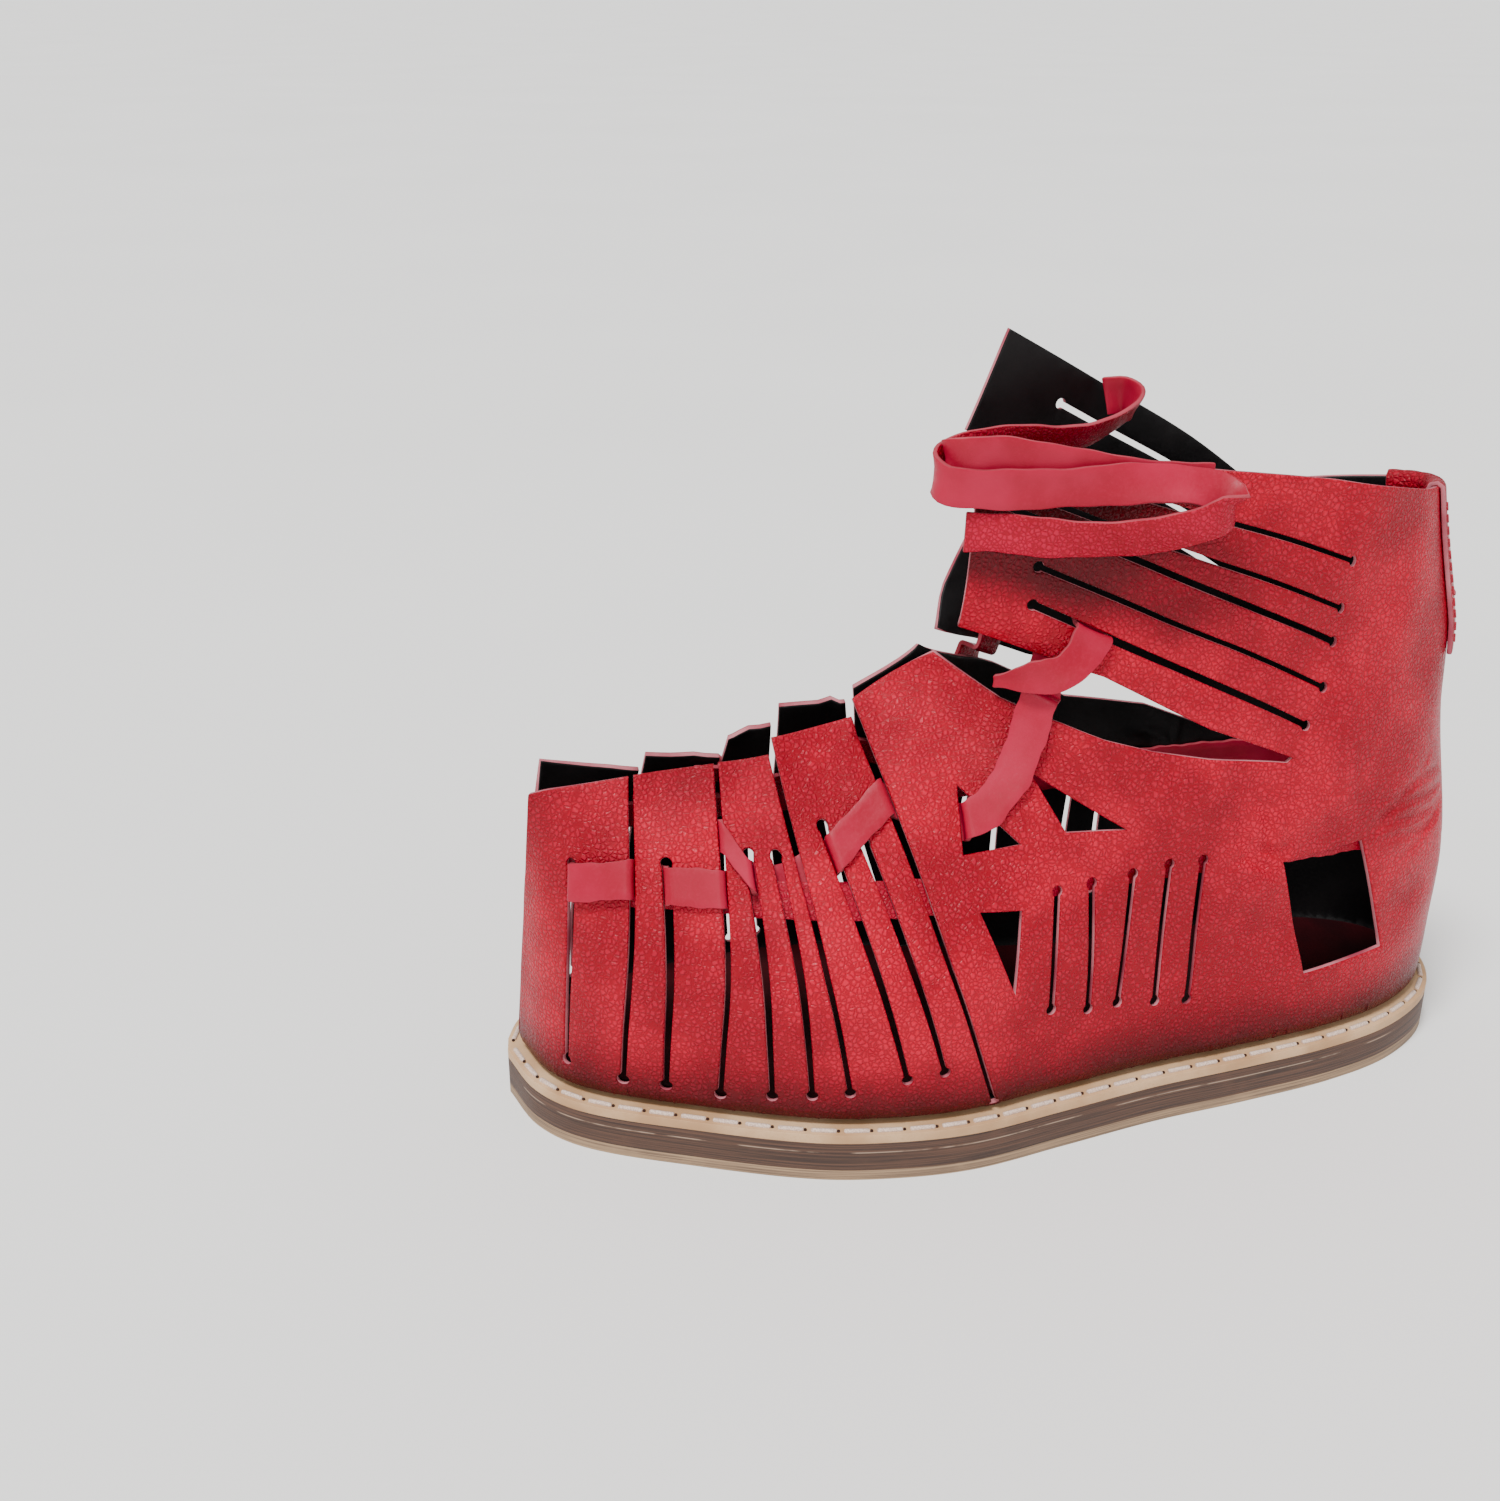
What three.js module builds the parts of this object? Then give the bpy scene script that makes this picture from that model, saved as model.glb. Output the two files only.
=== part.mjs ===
// Laced caliga sandal in red leather, a left shoe, built from its maker's pieces.
// Millimetres: toe towards -Y, outer side towards +X, the floor is z = 0.
import * as THREE from 'three';

// Driving sizes
const footLength = 272; // upper's bottom line, toe to heel
const ballWidth = 96; // upper's bottom line, across the ball
const instepHeight = 127; // tip of the instep flaps above the floor
const collarHeight = 175; // ankle line above the floor
const outsoleThickness = 3;
const midsoleThickness = 8.4;
const weltThickness = 2.6;
const weltLedge = 3.5; // sole beyond the upper's bottom line
const insoleThickness = 2;
const upperLeather = 2;
const stayLeather = 1.4;
const turnRadius = 4; // outer radius where the upper turns under
const lastingMargin = 10; // upper turned in under the insole
const laceSlitWidth = 2.4; // slits that a lace can pass
const plainSlitWidth = 1.4;
const punchRadius = 1.5; // round hole that ends each slit
const slitTaper = [0.55, 0.8, 1]; // width of a slit from its foot to its tip
const straight = [1, 1, 1];
const heelBulge = 2; // swell of the counter behind the heel
const laceWidth = 10;
const crossLaceWidth = 8.6;
const laceThickness = 1.2;
const laceClearance = 0.7; // between a lace and the faceted leather beside it
const laceStep = 9; // longest step of a lace on the wall
const stayWidth = 40; // back stay, measured round the heel
const stayInside = 78; // back stay's reach down the inside
const stayOutside = { outer: 50, inner: 36 }; // its reach down the outside, on each side
const fit = 0.3; // clearance between curved neighbours

// Fineness of the faceted forms
const punchSides = 5;
const edgeStep = 10;
const spreadStep = 11;
const footSteps = 70;
const outlineSteps = 72;
const stayColumns = 8;
const insoleSkip = 0.03; // share of the length left off round the toe

const soleTop = outsoleThickness + midsoleThickness + weltThickness;
const upperFloor = soleTop + fit;
const wallFoot = upperFloor + turnRadius;
const turnLength = (Math.PI / 2) * turnRadius;

// The upper's wall, as ribs from the toe to the back of the heel.
// girth and station are shares of footLength, along the wall and along the shoe,
// foot to crown are the half breadths at rising levels as shares of ballWidth,
// and lean is how far the crown stands behind the foot, as a share of footLength.
const ribColumns = ['girth', 'station', 'foot', 'side', 'top', 'brow', 'cuff', 'crown', 'lean'];
const outerRibs = table(ribColumns, [
  [-0.546, -0.500, -0.11, -0.07, -0.01, -0.01, -0.01, -0.01, 0.08],
  [-0.494, -0.481, 0.07, 0.04, -0.01, -0.01, -0.01, -0.01, 0.07],
  [-0.436, -0.441, 0.20, 0.16, -0.01, -0.01, -0.01, -0.01, 0.06],
  [-0.350, -0.351, 0.34, 0.29, 0.00, -0.02, -0.02, -0.02, 0.03],
  [-0.240, -0.240, 0.48, 0.43, 0.05, 0.02, 0.02, 0.02, 0.00],
  [-0.160, -0.160, 0.53, 0.48, 0.06, -0.03, 0.10, 0.15, 0.00],
  [-0.086, -0.086, 0.54, 0.48, 0.14, 0.04, 0.19, 0.20, 0.00],
  [0.006, 0.006, 0.50, 0.43, 0.28, 0.25, 0.24, 0.23, 0.00],
  [0.116, 0.116, 0.45, 0.39, 0.32, 0.29, 0.28, 0.27, 0.00],
  [0.226, 0.226, 0.42, 0.38, 0.33, 0.31, 0.31, 0.29, 0.00],
  [0.336, 0.329, 0.38, 0.36, 0.32, 0.30, 0.30, 0.28, -0.02],
  [0.428, 0.410, 0.31, 0.31, 0.26, 0.245, 0.24, 0.22, -0.04],
  [0.509, 0.474, 0.18, 0.19, 0.15, 0.14, 0.135, 0.125, -0.06],
  [0.579, 0.500, 0.00, 0.00, 0.00, 0.00, 0.00, 0.00, -0.066],
]);
const innerRibs = table(ribColumns, [
  [-0.546, -0.500, -0.13, -0.16, -0.24, -0.24, -0.24, -0.24, 0.08],
  [-0.494, -0.481, -0.25, -0.27, -0.24, -0.24, -0.24, -0.24, 0.06],
  [-0.436, -0.441, -0.34, -0.35, -0.22, -0.22, -0.22, -0.22, 0.04],
  [-0.350, -0.351, -0.43, -0.43, -0.16, -0.13, -0.13, -0.13, 0.015],
  [-0.240, -0.240, -0.47, -0.44, -0.14, -0.10, -0.10, -0.10, 0.00],
  [-0.160, -0.160, -0.46, -0.43, -0.12, -0.07, -0.13, -0.15, 0.00],
  [-0.086, -0.086, -0.40, -0.38, -0.13, -0.05, -0.17, -0.18, 0.00],
  [0.006, 0.006, -0.33, -0.35, -0.26, -0.23, -0.22, -0.21, 0.00],
  [0.116, 0.116, -0.28, -0.32, -0.29, -0.28, -0.27, -0.26, 0.00],
  [0.226, 0.226, -0.28, -0.32, -0.30, -0.30, -0.29, -0.28, 0.00],
  [0.336, 0.329, -0.28, -0.31, -0.29, -0.28, -0.275, -0.26, -0.02],
  [0.428, 0.410, -0.25, -0.27, -0.24, -0.23, -0.22, -0.21, -0.04],
  [0.509, 0.474, -0.15, -0.165, -0.14, -0.13, -0.125, -0.12, -0.06],
  [0.579, 0.500, 0.00, 0.00, 0.00, 0.00, 0.00, 0.00, -0.066],
]);

// Levels of the half breadths. A rise of 0 is the sole, 1 the instep and 2 the collar.
const levels = { foot: 0, side: 0.39, top: 0.85, brow: 1.0, cuff: 1.27, crown: 2.0 };

// Cuts that part the tabs of a toe flap, and the toe flap from the quarter, a row for each,
// from the foot to the mouth at the top edge, which stands higher on one side
const notchColumns = [
  'footGirth', 'footRise', 'midGirth', 'midRise', 'mouthGirth',
  'outerBefore', 'outerAfter', 'innerBefore', 'innerAfter',
];
const toeNotches = table(notchColumns, [
  [-0.408, 0.065, -0.400, 0.40, -0.392, 0.763, 0.765, 0.670, 0.720],
  [-0.325, 0.060, -0.316, 0.40, -0.307, 0.784, 0.786, 0.690, 0.755],
  [-0.208, 0.090, -0.227, 0.37, -0.251, 0.800, 0.834, 0.790, 0.850],
  [-0.063, 0.020, -0.110, 0.38, -0.165, 0.862, 0.900, 0.850, 0.895],
]);

// Slits that end in a punched hole at both ends, from one end to the other.
// The lace slits are wider than the plain ones.
const slitColumns = ['footGirth', 'footRise', 'midGirth', 'midRise', 'tipGirth', 'tipRise'];
const laceSlits = table(slitColumns, [
  [-0.465, 0.080, -0.462, 0.32, -0.458, 0.570],
  [-0.372, 0.065, -0.368, 0.32, -0.365, 0.585],
  [-0.279, 0.070, -0.283, 0.35, -0.286, 0.610],
  [-0.243, 0.080, -0.251, 0.36, -0.260, 0.610],
  [-0.154, 0.120, -0.182, 0.39, -0.211, 0.665],
  [-0.117, 0.130, -0.146, 0.38, -0.175, 0.630],
]);
const quarterSlits = table(slitColumns, [
  [-0.002, 0.226, 0.002, 0.36, 0.007, 0.504],
  [0.040, 0.204, 0.042, 0.36, 0.044, 0.510],
  [0.074, 0.202, 0.081, 0.36, 0.088, 0.517],
  [0.117, 0.184, 0.122, 0.36, 0.127, 0.528],
  [0.154, 0.170, 0.158, 0.35, 0.163, 0.528],
]);
const ankleSlits = {
  outer: table(slitColumns, [
    [0.314, 1.525, 0.143, 1.819, -0.024, 2.125],
    [0.305, 1.260, 0.096, 1.696, -0.031, 1.985],
    [0.288, 0.924, 0.139, 1.200, -0.010, 1.580],
    [0.269, 0.835, 0.128, 0.997, -0.014, 1.375],
  ]),
  inner: table(slitColumns, [
    [0.312, 1.460, 0.190, 1.840, 0.068, 2.220],
    [0.305, 1.260, 0.182, 1.640, 0.060, 2.020],
    [0.288, 0.924, 0.159, 1.160, 0.030, 1.500],
    [0.269, 0.835, 0.140, 0.981, 0.010, 1.300],
  ]),
};

// Cut between the two ankle flaps, from its hole near the heel to the open front
const frontCut = {
  outer: { rear: [0.298, 1.070], middle: [0.207, 1.283], front: [-0.080, 2.000] },
  inner: { rear: [0.298, 1.070], middle: [0.154, 1.530], front: [0.010, 1.990] },
};

// Windows of the quarter, each a ring of girth and rise
const windows = [
  [[-0.080, 0.737], [-0.084, 0.602], [-0.028, 0.617]],
  [[-0.014, 0.772], [0.018, 0.635], [0.081, 0.625]],
  [[-0.075, 0.487], [-0.042, 0.285], [-0.032, 0.476]],
  [[0.254, 0.495], [0.292, 0.185], [0.399, 0.208], [0.356, 0.519]],
];

// Edges of the quarter in order: the instep flap's front and the throat's lower side to its end,
// back along the lower ankle flap, then the upper flap's front and the collar to the heel
const quarterEdge = {
  outer: {
    throat: [
      [-0.086, 1.004], [-0.035, 0.927], [0.017, 0.882], [0.057, 0.842], [0.107, 0.805], [0.164, 0.776],
      [0.250, 0.747], [0.256, 0.758], [0.163, 0.848], [0.055, 0.989], [-0.081, 1.250], [-0.072, 1.930],
    ],
    collar: [
      [-0.090, 2.070], [-0.086, 2.250], [0.169, 2.048], [0.285, 1.975], [0.467, 1.825], [0.579, 1.771],
    ],
  },
  inner: {
    throat: [
      [-0.092, 1.004], [-0.035, 0.927], [0.017, 0.870], [0.057, 0.815], [0.107, 0.745], [0.201, 0.700],
      [0.282, 0.617], [0.288, 0.628], [0.163, 0.790], [0.055, 0.880], [-0.070, 1.050], [0.010, 1.860],
    ],
    collar: [
      [-0.034, 2.120], [0.006, 2.660], [0.150, 2.200], [0.295, 1.723], [0.373, 1.690], [0.579, 1.771],
    ],
  },
};
const toeCorner = { outer: [-0.546, 0.720], inner: [-0.480, 0.722] }; // top corner of the foremost tab
// How much further back the inner side's cuts stand, and the girths between which that fades
const lag = { most: 0.034, fullTo: -0.3, noneFrom: -0.1 };
const laceAnkleSlit = 3; // place of the outer ankle slit that a lace passes

// Route of the lace over one side, from the toe gap to its hidden end behind the ankle flap:
// a place on the leather, the layer it lies in and the tilt of its width from upright, in degrees.
// Layer -1 is outside the leather, 1 is inside it, and 2 is inside past another lace or a bend.
const laceColumns = ['girth', 'rise', 'layer', 'tilt'];
const mainLace = table(laceColumns, [
  [-0.522, 0.530, 1, 0],
  [-0.459, 0.530, 1, 2],
  [-0.459, 0.530, -1, 2],
  [-0.397, 0.550, -1, 3],
  [-0.397, 0.550, 1, 3],
  [-0.366, 0.540, 1, 2],
  [-0.366, 0.540, -1, 2],
  [-0.313, 0.540, -1, 3],
  [-0.313, 0.540, 2, 3],
  [-0.262, 0.560, 2, -2],
  [-0.240, 0.580, 1, -10],
  [-0.206, 0.612, 1, -14],
  [-0.206, 0.612, -1, -14],
  [-0.147, 0.712, -1, -15],
  [-0.147, 0.712, 1, -15],
  [-0.100, 0.680, 1, -5],
  [-0.077, 0.667, 1, 0],
  [-0.077, 0.667, -1, 0],
  [-0.055, 0.690, -1, -30],
  [-0.030, 0.760, -1, -58],
]);

// Its upper end on each side, which goes in under the lower ankle flap
const laceEnds = {
  outer: table(laceColumns, [
    [-0.014, 0.850, -1, -70],
    [-0.002, 0.950, -1, -62],
    [-0.002, 0.950, 1, -62],
    [0.004, 1.060, 1.4, -68],
    [0.010, 1.200, 1.4, -75],
  ]),
  inner: table(laceColumns, [
    [-0.014, 0.850, -1, -75],
    [-0.008, 0.926, -1, -62],
    [-0.008, 0.926, 1.6, -62],
    [0.002, 1.040, 1.8, -68],
    [0.016, 1.180, 1.6, -75],
  ]),
};

// Lace end that comes out of the lowest ankle slit and falls over the flap's lower edge
const ankleLace = table(laceColumns, [
  [0.030, 1.400, 1, -75],
  [0.045, 1.218, 1, -65],
  [0.045, 1.218, -1, -65],
  [0.036, 1.120, -1.3, -68],
  [0.024, 1.050, -2.1, -60],
  [0.008, 1.005, -2.8, -40],
  [-0.014, 0.985, -2.8, -15],
  [-0.036, 0.965, -1.6, 5],
]);

// Short piece of lace over the third tab, above the main one
const crossLace = table(laceColumns, [
  [-0.338, 0.650, 1, 3],
  [-0.3100, 0.644, 1, 3],
  [-0.3100, 0.644, -1, 3],
  [-0.2855, 0.568, -1, -2],
  [-0.2855, 0.568, 1, -2],
  [-0.272, 0.560, 1, -2],
]);

// Free laces, in millimetres, by hand: the middle of the lace, its width's tilt from upright
// towards the heel, and the same towards the outer side
const freeColumns = ['x', 'y', 'z', 'back', 'out'];
const bowLace = table(freeColumns, [
  [-20.4, 31, 187, 0, 0],
  [-17, 35, 188, 0, 25],
  [-10, 35, 187, 0, 45],
  [-3, 28, 185, 0, 48],
  [2, 17, 182.5, 0, 40],
  [6, 5, 182.5, 0, 28],
  [9.4, -7, 183.5, 0, 15],
  [12.2, -18, 183.5, 0, 5],
  [14.4, -26.5, 181.5, 0, 0],
  [18.5, -30, 179.5, 0, 0],
  [22.6, -28.4, 177.6, 0, 0],
  [23.8, -20, 176.4, -3, 0],
  [24.6, -8, 175.8, -2, 0],
  [26.2, 4, 176, 0, 0],
  [28, 14, 176.5, 0, -10],
  [30.2, 24, 176.8, 0, -25],
  [32.4, 32, 176.2, 5, -35],
  [34.6, 38.2, 174.6, 10, -30],
  [37, 40.2, 172, 15, -10],
  [38.2, 36.5, 169.5, 15, 5],
  [36.6, 29, 166.8, 8, 15],
  [33, 19, 164.4, 3, 20],
  [29, 8, 163.4, 0, 15],
  [25.8, -4, 163.8, 0, 5],
  [23.4, -14, 165, 0, 0],
  [22, -23, 165.4, 0, 0],
]);
const bandLace = table(freeColumns, [
  [28.8, 39, 175.4, 0, -8],
  [27.4, 30, 175.8, 0, -6],
  [26, 20, 177.2, 0, -4],
  [24.4, 9, 179, 0, -3],
  [22.8, -2, 181.4, 0, -3],
  [21.6, -13, 183.4, 0, 0],
  [21.2, -23.4, 183.6, 0, 0],
  [18.4, -27.2, 183, 0, 5],
  [15.4, -24.4, 180.5, -5, 5],
  [15.2, -18, 176, -8, 5],
  [15.6, -12, 170, -10, 0],
]);

// Names each number of a row after its column
function table(columns, rows) {
  return rows.map((row) => Object.fromEntries(columns.map((name, index) => [name, row[index]])));
}

// Smooth curve through the points of a table, straight beyond its ends
function follow(places, values, place) {
  const last = places.length - 1;
  let at = 0;
  while (at < last - 1 && place > places[at + 1]) at += 1;
  const slope = (index) => {
    const before = Math.max(index - 1, 0);
    const after = Math.min(index + 1, last);
    return (values[after] - values[before]) / (places[after] - places[before]);
  };
  const span = places[at + 1] - places[at];
  const t = (place - places[at]) / span;
  if (t < 0) return values[0] + slope(0) * (place - places[0]);
  if (t > 1) return values[last] + slope(last) * (place - places[last]);
  const ease = t * t * (3 - 2 * t);
  const leave = t * (1 - t) * (1 - t) * span * slope(at);
  const arrive = t * t * (1 - t) * span * slope(at + 1);
  return values[at] * (1 - ease) + values[at + 1] * ease + leave - arrive;
}

// Height of a rise, and the rise of a height
function heightOf(rise) {
  if (rise <= 1) return soleTop + rise * (instepHeight - soleTop);
  return instepHeight + (rise - 1) * (collarHeight - instepHeight);
}
function riseOf(height) {
  if (height <= instepHeight) return (height - soleTop) / (instepHeight - soleTop);
  return 1 + (height - instepHeight) / (collarHeight - instepHeight);
}

const levelNames = Object.keys(levels);
const levelRises = Object.values(levels);
const toe = outerRibs[0].girth;
const heel = outerRibs[outerRibs.length - 1].girth;
const otherToe = 2 * heel - toe;
const ribs = wrapRibs();

// The ribs of both sides in one round, from the outer toe edge over the heel to the inner one
function wrapRibs() {
  const back = innerRibs.map((rib) => ({ ...rib, girth: 2 * heel - rib.girth })).reverse();
  const round = [...outerRibs, ...back.slice(1)];
  return Object.fromEntries(ribColumns.map((name) => [name, round.map((rib) => rib[name])]));
}

// Outer face of the upper's wall, at a girth of that round and a height
function wall(girth, height) {
  const rise = riseOf(height);
  const breadths = levelNames.map((name) => follow(ribs.girth, ribs[name], girth));
  const lean = follow(ribs.girth, ribs.lean, girth) * Math.pow(Math.max(rise, 0) / levels.crown, 1.3);
  const nearHeel = THREE.MathUtils.smoothstep(-Math.abs(girth - heel), -0.28, -0.03);
  const bulge = heelBulge * nearHeel * Math.sin(Math.PI * THREE.MathUtils.clamp(rise / 0.8, 0, 1));
  const station = follow(ribs.girth, ribs.station, girth) + lean;
  const breadth = follow(levelRises, breadths, rise) * ballWidth;
  return new THREE.Vector3(breadth, station * footLength + bulge, height);
}

// Direction out of the wall's outer face
function outward(girth, height) {
  const step = 0.004;
  const along = wall(Math.min(girth + step, otherToe), height).sub(wall(Math.max(girth - step, toe), height));
  const up = wall(girth, height + 1).sub(wall(girth, height - 1));
  return along.cross(up).normalize();
}

// Direction in which the leather turns under the foot
function inward(girth) {
  const fromToe = Math.min(girth - toe, otherToe - girth);
  const direction = outward(girth, wallFoot).setZ(0).normalize().negate();
  return direction.setX(direction.x * THREE.MathUtils.smoothstep(fromToe, 0, 0.1)).normalize();
}

// Place on the leather of a point of its flat pattern, at a depth below its outer face.
// x runs round the shoe and y up the wall, and below the wall's foot the leather turns in.
function onLeather(point, depth) {
  const girth = point.x / footLength;
  const below = wallFoot - point.y;
  if (below <= 0) return wall(girth, point.y).addScaledVector(outward(girth, point.y), -depth);
  const angle = Math.min(below / turnRadius, Math.PI / 2);
  const radius = turnRadius - depth;
  const inset = turnRadius - radius * Math.cos(angle) + Math.max(below - turnLength, 0);
  const drop = radius * Math.sin(angle);
  return wall(girth, wallFoot).addScaledVector(inward(girth), inset).setZ(wallFoot - drop);
}

// Solids from grids and rings of points
function toGeometry(vertices, triangles) {
  const geometry = new THREE.BufferGeometry();
  const places = vertices.flatMap((vertex) => [vertex.x, vertex.y, vertex.z]);
  geometry.setAttribute('position', new THREE.Float32BufferAttribute(places, 3));
  geometry.setIndex(triangles);
  return geometry;
}

function quad(a, b, c, d) {
  return [a, b, c, a, c, d];
}

// Closed sheet between two like grids of points, face and back
function sheet(face, back) {
  const rows = face[0].length;
  const columns = face.length;
  const backStart = columns * rows;
  const at = (column, row) => column * rows + row;
  const triangles = [];
  for (let c = 0; c < columns - 1; c += 1) {
    for (let r = 0; r < rows - 1; r += 1) {
      const corners = [at(c, r), at(c + 1, r), at(c + 1, r + 1), at(c, r + 1)];
      triangles.push(...quad(...corners), ...quad(...corners.map((i) => i + backStart).reverse()));
    }
  }
  const edge = [];
  for (let c = 0; c < columns - 1; c += 1) edge.push(at(c, 0));
  for (let r = 0; r < rows - 1; r += 1) edge.push(at(columns - 1, r));
  for (let c = columns - 1; c > 0; c -= 1) edge.push(at(c, rows - 1));
  for (let r = rows - 1; r > 0; r -= 1) edge.push(at(0, r));
  edge.forEach((a, index) => {
    const b = edge[(index + 1) % edge.length];
    triangles.push(...quad(b, a, a + backStart, b + backStart));
  });
  return toGeometry([...face.flat(), ...back.flat()], triangles);
}

// Adds points so that no step of a ring is longer than the given length
function refine(ring, longest) {
  return ring.flatMap((point, index) => {
    const next = ring[(index + 1) % ring.length];
    const steps = Math.max(1, Math.ceil(point.distanceTo(next) / longest));
    return Array.from({ length: steps }, (_, i) => point.clone().lerp(next, i / steps));
  });
}

// Twice the area of a triangle of the flat pattern
function turn(a, b, c) {
  return (b.x - a.x) * (c.y - a.y) - (b.y - a.y) * (c.x - a.x);
}

function insideCircle(a, b, c, point) {
  const [p, q, r] = [a, b, c].map((corner) => corner.clone().sub(point));
  return p.lengthSq() * q.cross(r) - q.lengthSq() * p.cross(r) + r.lengthSq() * p.cross(q) > 1e-6;
}

// Triangles of a flat pattern with holes, through further points spread over it
function triangulate(outline, holes, spread) {
  const points = [outline, ...holes].flat();
  const triangles = THREE.ShapeUtils.triangulateShape(outline, holes);
  const area = triangles.reduce((sum, [a, b, c]) => sum + turn(points[a], points[b], points[c]), 0);
  if (area < 0) triangles.forEach((corners) => corners.reverse());
  for (const point of spread) {
    const place = triangles.findIndex(([a, b, c]) => {
      const around = [turn(points[a], points[b], point), turn(points[b], points[c], point)];
      return Math.min(...around, turn(points[c], points[a], point)) > 1e-3;
    });
    if (place < 0) continue;
    const [a, b, c] = triangles[place];
    const added = points.push(point) - 1;
    triangles.splice(place, 1, [a, b, added], [b, c, added], [c, a, added]);
  }
  for (let flips = 1; flips > 0; ) flips = flipEdges(points, triangles);
  return { points, triangles };
}

// Turns each edge whose two triangles would be rounder across it
function flipEdges(points, triangles) {
  const edges = new Map();
  const touched = new Set();
  let flips = 0;
  triangles.forEach((corners, index) => {
    corners.forEach((a, i) => edges.set(`${a} ${corners[(i + 1) % 3]}`, index));
  });
  triangles.forEach((corners, index) => corners.forEach((a, i) => {
    const b = corners[(i + 1) % 3];
    const other = edges.get(`${b} ${a}`);
    if (other === undefined || touched.has(index) || touched.has(other)) return;
    const c = corners[(i + 2) % 3];
    const d = triangles[other].find((corner) => corner !== a && corner !== b);
    if (!insideCircle(points[a], points[b], points[c], points[d])) return;
    if (turn(points[c], points[d], points[b]) <= 0 || turn(points[d], points[c], points[a]) <= 0) return;
    triangles[index] = [a, d, c];
    triangles[other] = [d, b, c];
    touched.add(index).add(other);
    flips += 1;
  }));
  return flips;
}

// Solid leather of a flat pattern, laid on the last
function leatherSolid(outline, holes, spread, thickness) {
  const { points, triangles } = triangulate(outline, holes, spread);
  const count = points.length;
  const face = points.map((point) => onLeather(point, 0));
  const back = points.map((point) => onLeather(point, thickness));
  const corners = triangles.flatMap(([a, b, c]) => [a, b, c, c + count, b + count, a + count]);
  let first = 0;
  for (const ring of [outline, ...holes]) {
    const ahead = THREE.ShapeUtils.area(ring) > 0 === (ring === outline);
    for (let i = 0; i < ring.length; i += 1) {
      const near = first + i;
      const next = first + ((i + 1) % ring.length);
      const [a, b] = ahead ? [near, next] : [next, near];
      corners.push(...quad(a + count, b + count, b, a));
    }
    first += ring.length;
  }
  return toGeometry([...face, ...back], corners);
}

// Flat pattern of a girth and rise, in millimetres
function flat([girth, rise]) {
  return new THREE.Vector2(girth * footLength, heightOf(rise));
}

// Flat pattern of the other side, turned over the heel
function turnedOver(ring) {
  return ring.map((point) => new THREE.Vector2(2 * heel * footLength - point.x, point.y)).reverse();
}

// Points beside and round the end of a slit that runs along a path to a punched hole.
// The taper gives its width along the path, as a share of the full one.
function slitSides(path, width, taper) {
  const last = path.length - 1;
  const half = (index) => (width * taper[index]) / 2;
  const heading = (index) => {
    const next = path[Math.min(index + 1, last)].clone();
    return next.sub(path[Math.max(index - 1, 0)]).normalize();
  };
  const beside = (index, sign) => {
    const ahead = heading(index);
    return path[index].clone().add(new THREE.Vector2(-ahead.y, ahead.x).multiplyScalar(half(index) * sign));
  };
  const round = (index, towards) => {
    const ahead = heading(index).multiplyScalar(towards);
    const mouth = Math.asin(half(index) / punchRadius);
    const from = Math.atan2(ahead.y, ahead.x) - Math.PI + mouth;
    return Array.from({ length: punchSides + 1 }, (_, i) => {
      const angle = from + (2 * (Math.PI - mouth) * i) / punchSides;
      const spoke = new THREE.Vector2(Math.cos(angle), Math.sin(angle)).multiplyScalar(punchRadius);
      return path[index].clone().add(spoke);
    });
  };
  const middle = Array.from({ length: last - 1 }, (_, i) => i + 1);
  const right = middle.map((index) => beside(index, -1));
  const left = middle.map((index) => beside(index, 1)).reverse();
  return { start: round(0, -1), right, end: round(last, 1), left, mouth: [beside(0, -1), beside(0, 1)] };
}

// Where a cut or lace of the toe flap stands on one side
function lagged(girth, side) {
  if (side === 'outer') return girth;
  return girth + lag.most * THREE.MathUtils.clamp((lag.noneFrom - girth) / (lag.noneFrom - lag.fullTo), 0, 1);
}

function laggedSlit(slit, side) {
  const girths = [slit.footGirth, slit.midGirth, slit.tipGirth].map((girth) => lagged(girth, side));
  return { ...slit, footGirth: girths[0], midGirth: girths[1], tipGirth: girths[2] };
}

function closedSlit(slit, width, taper = slitTaper) {
  const path = [
    [slit.footGirth, slit.footRise], [slit.midGirth, slit.midRise], [slit.tipGirth, slit.tipRise],
  ];
  const { start, right, end, left } = slitSides(path.map(flat), width, taper);
  return [...start, ...right, ...end, ...left];
}

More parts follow.
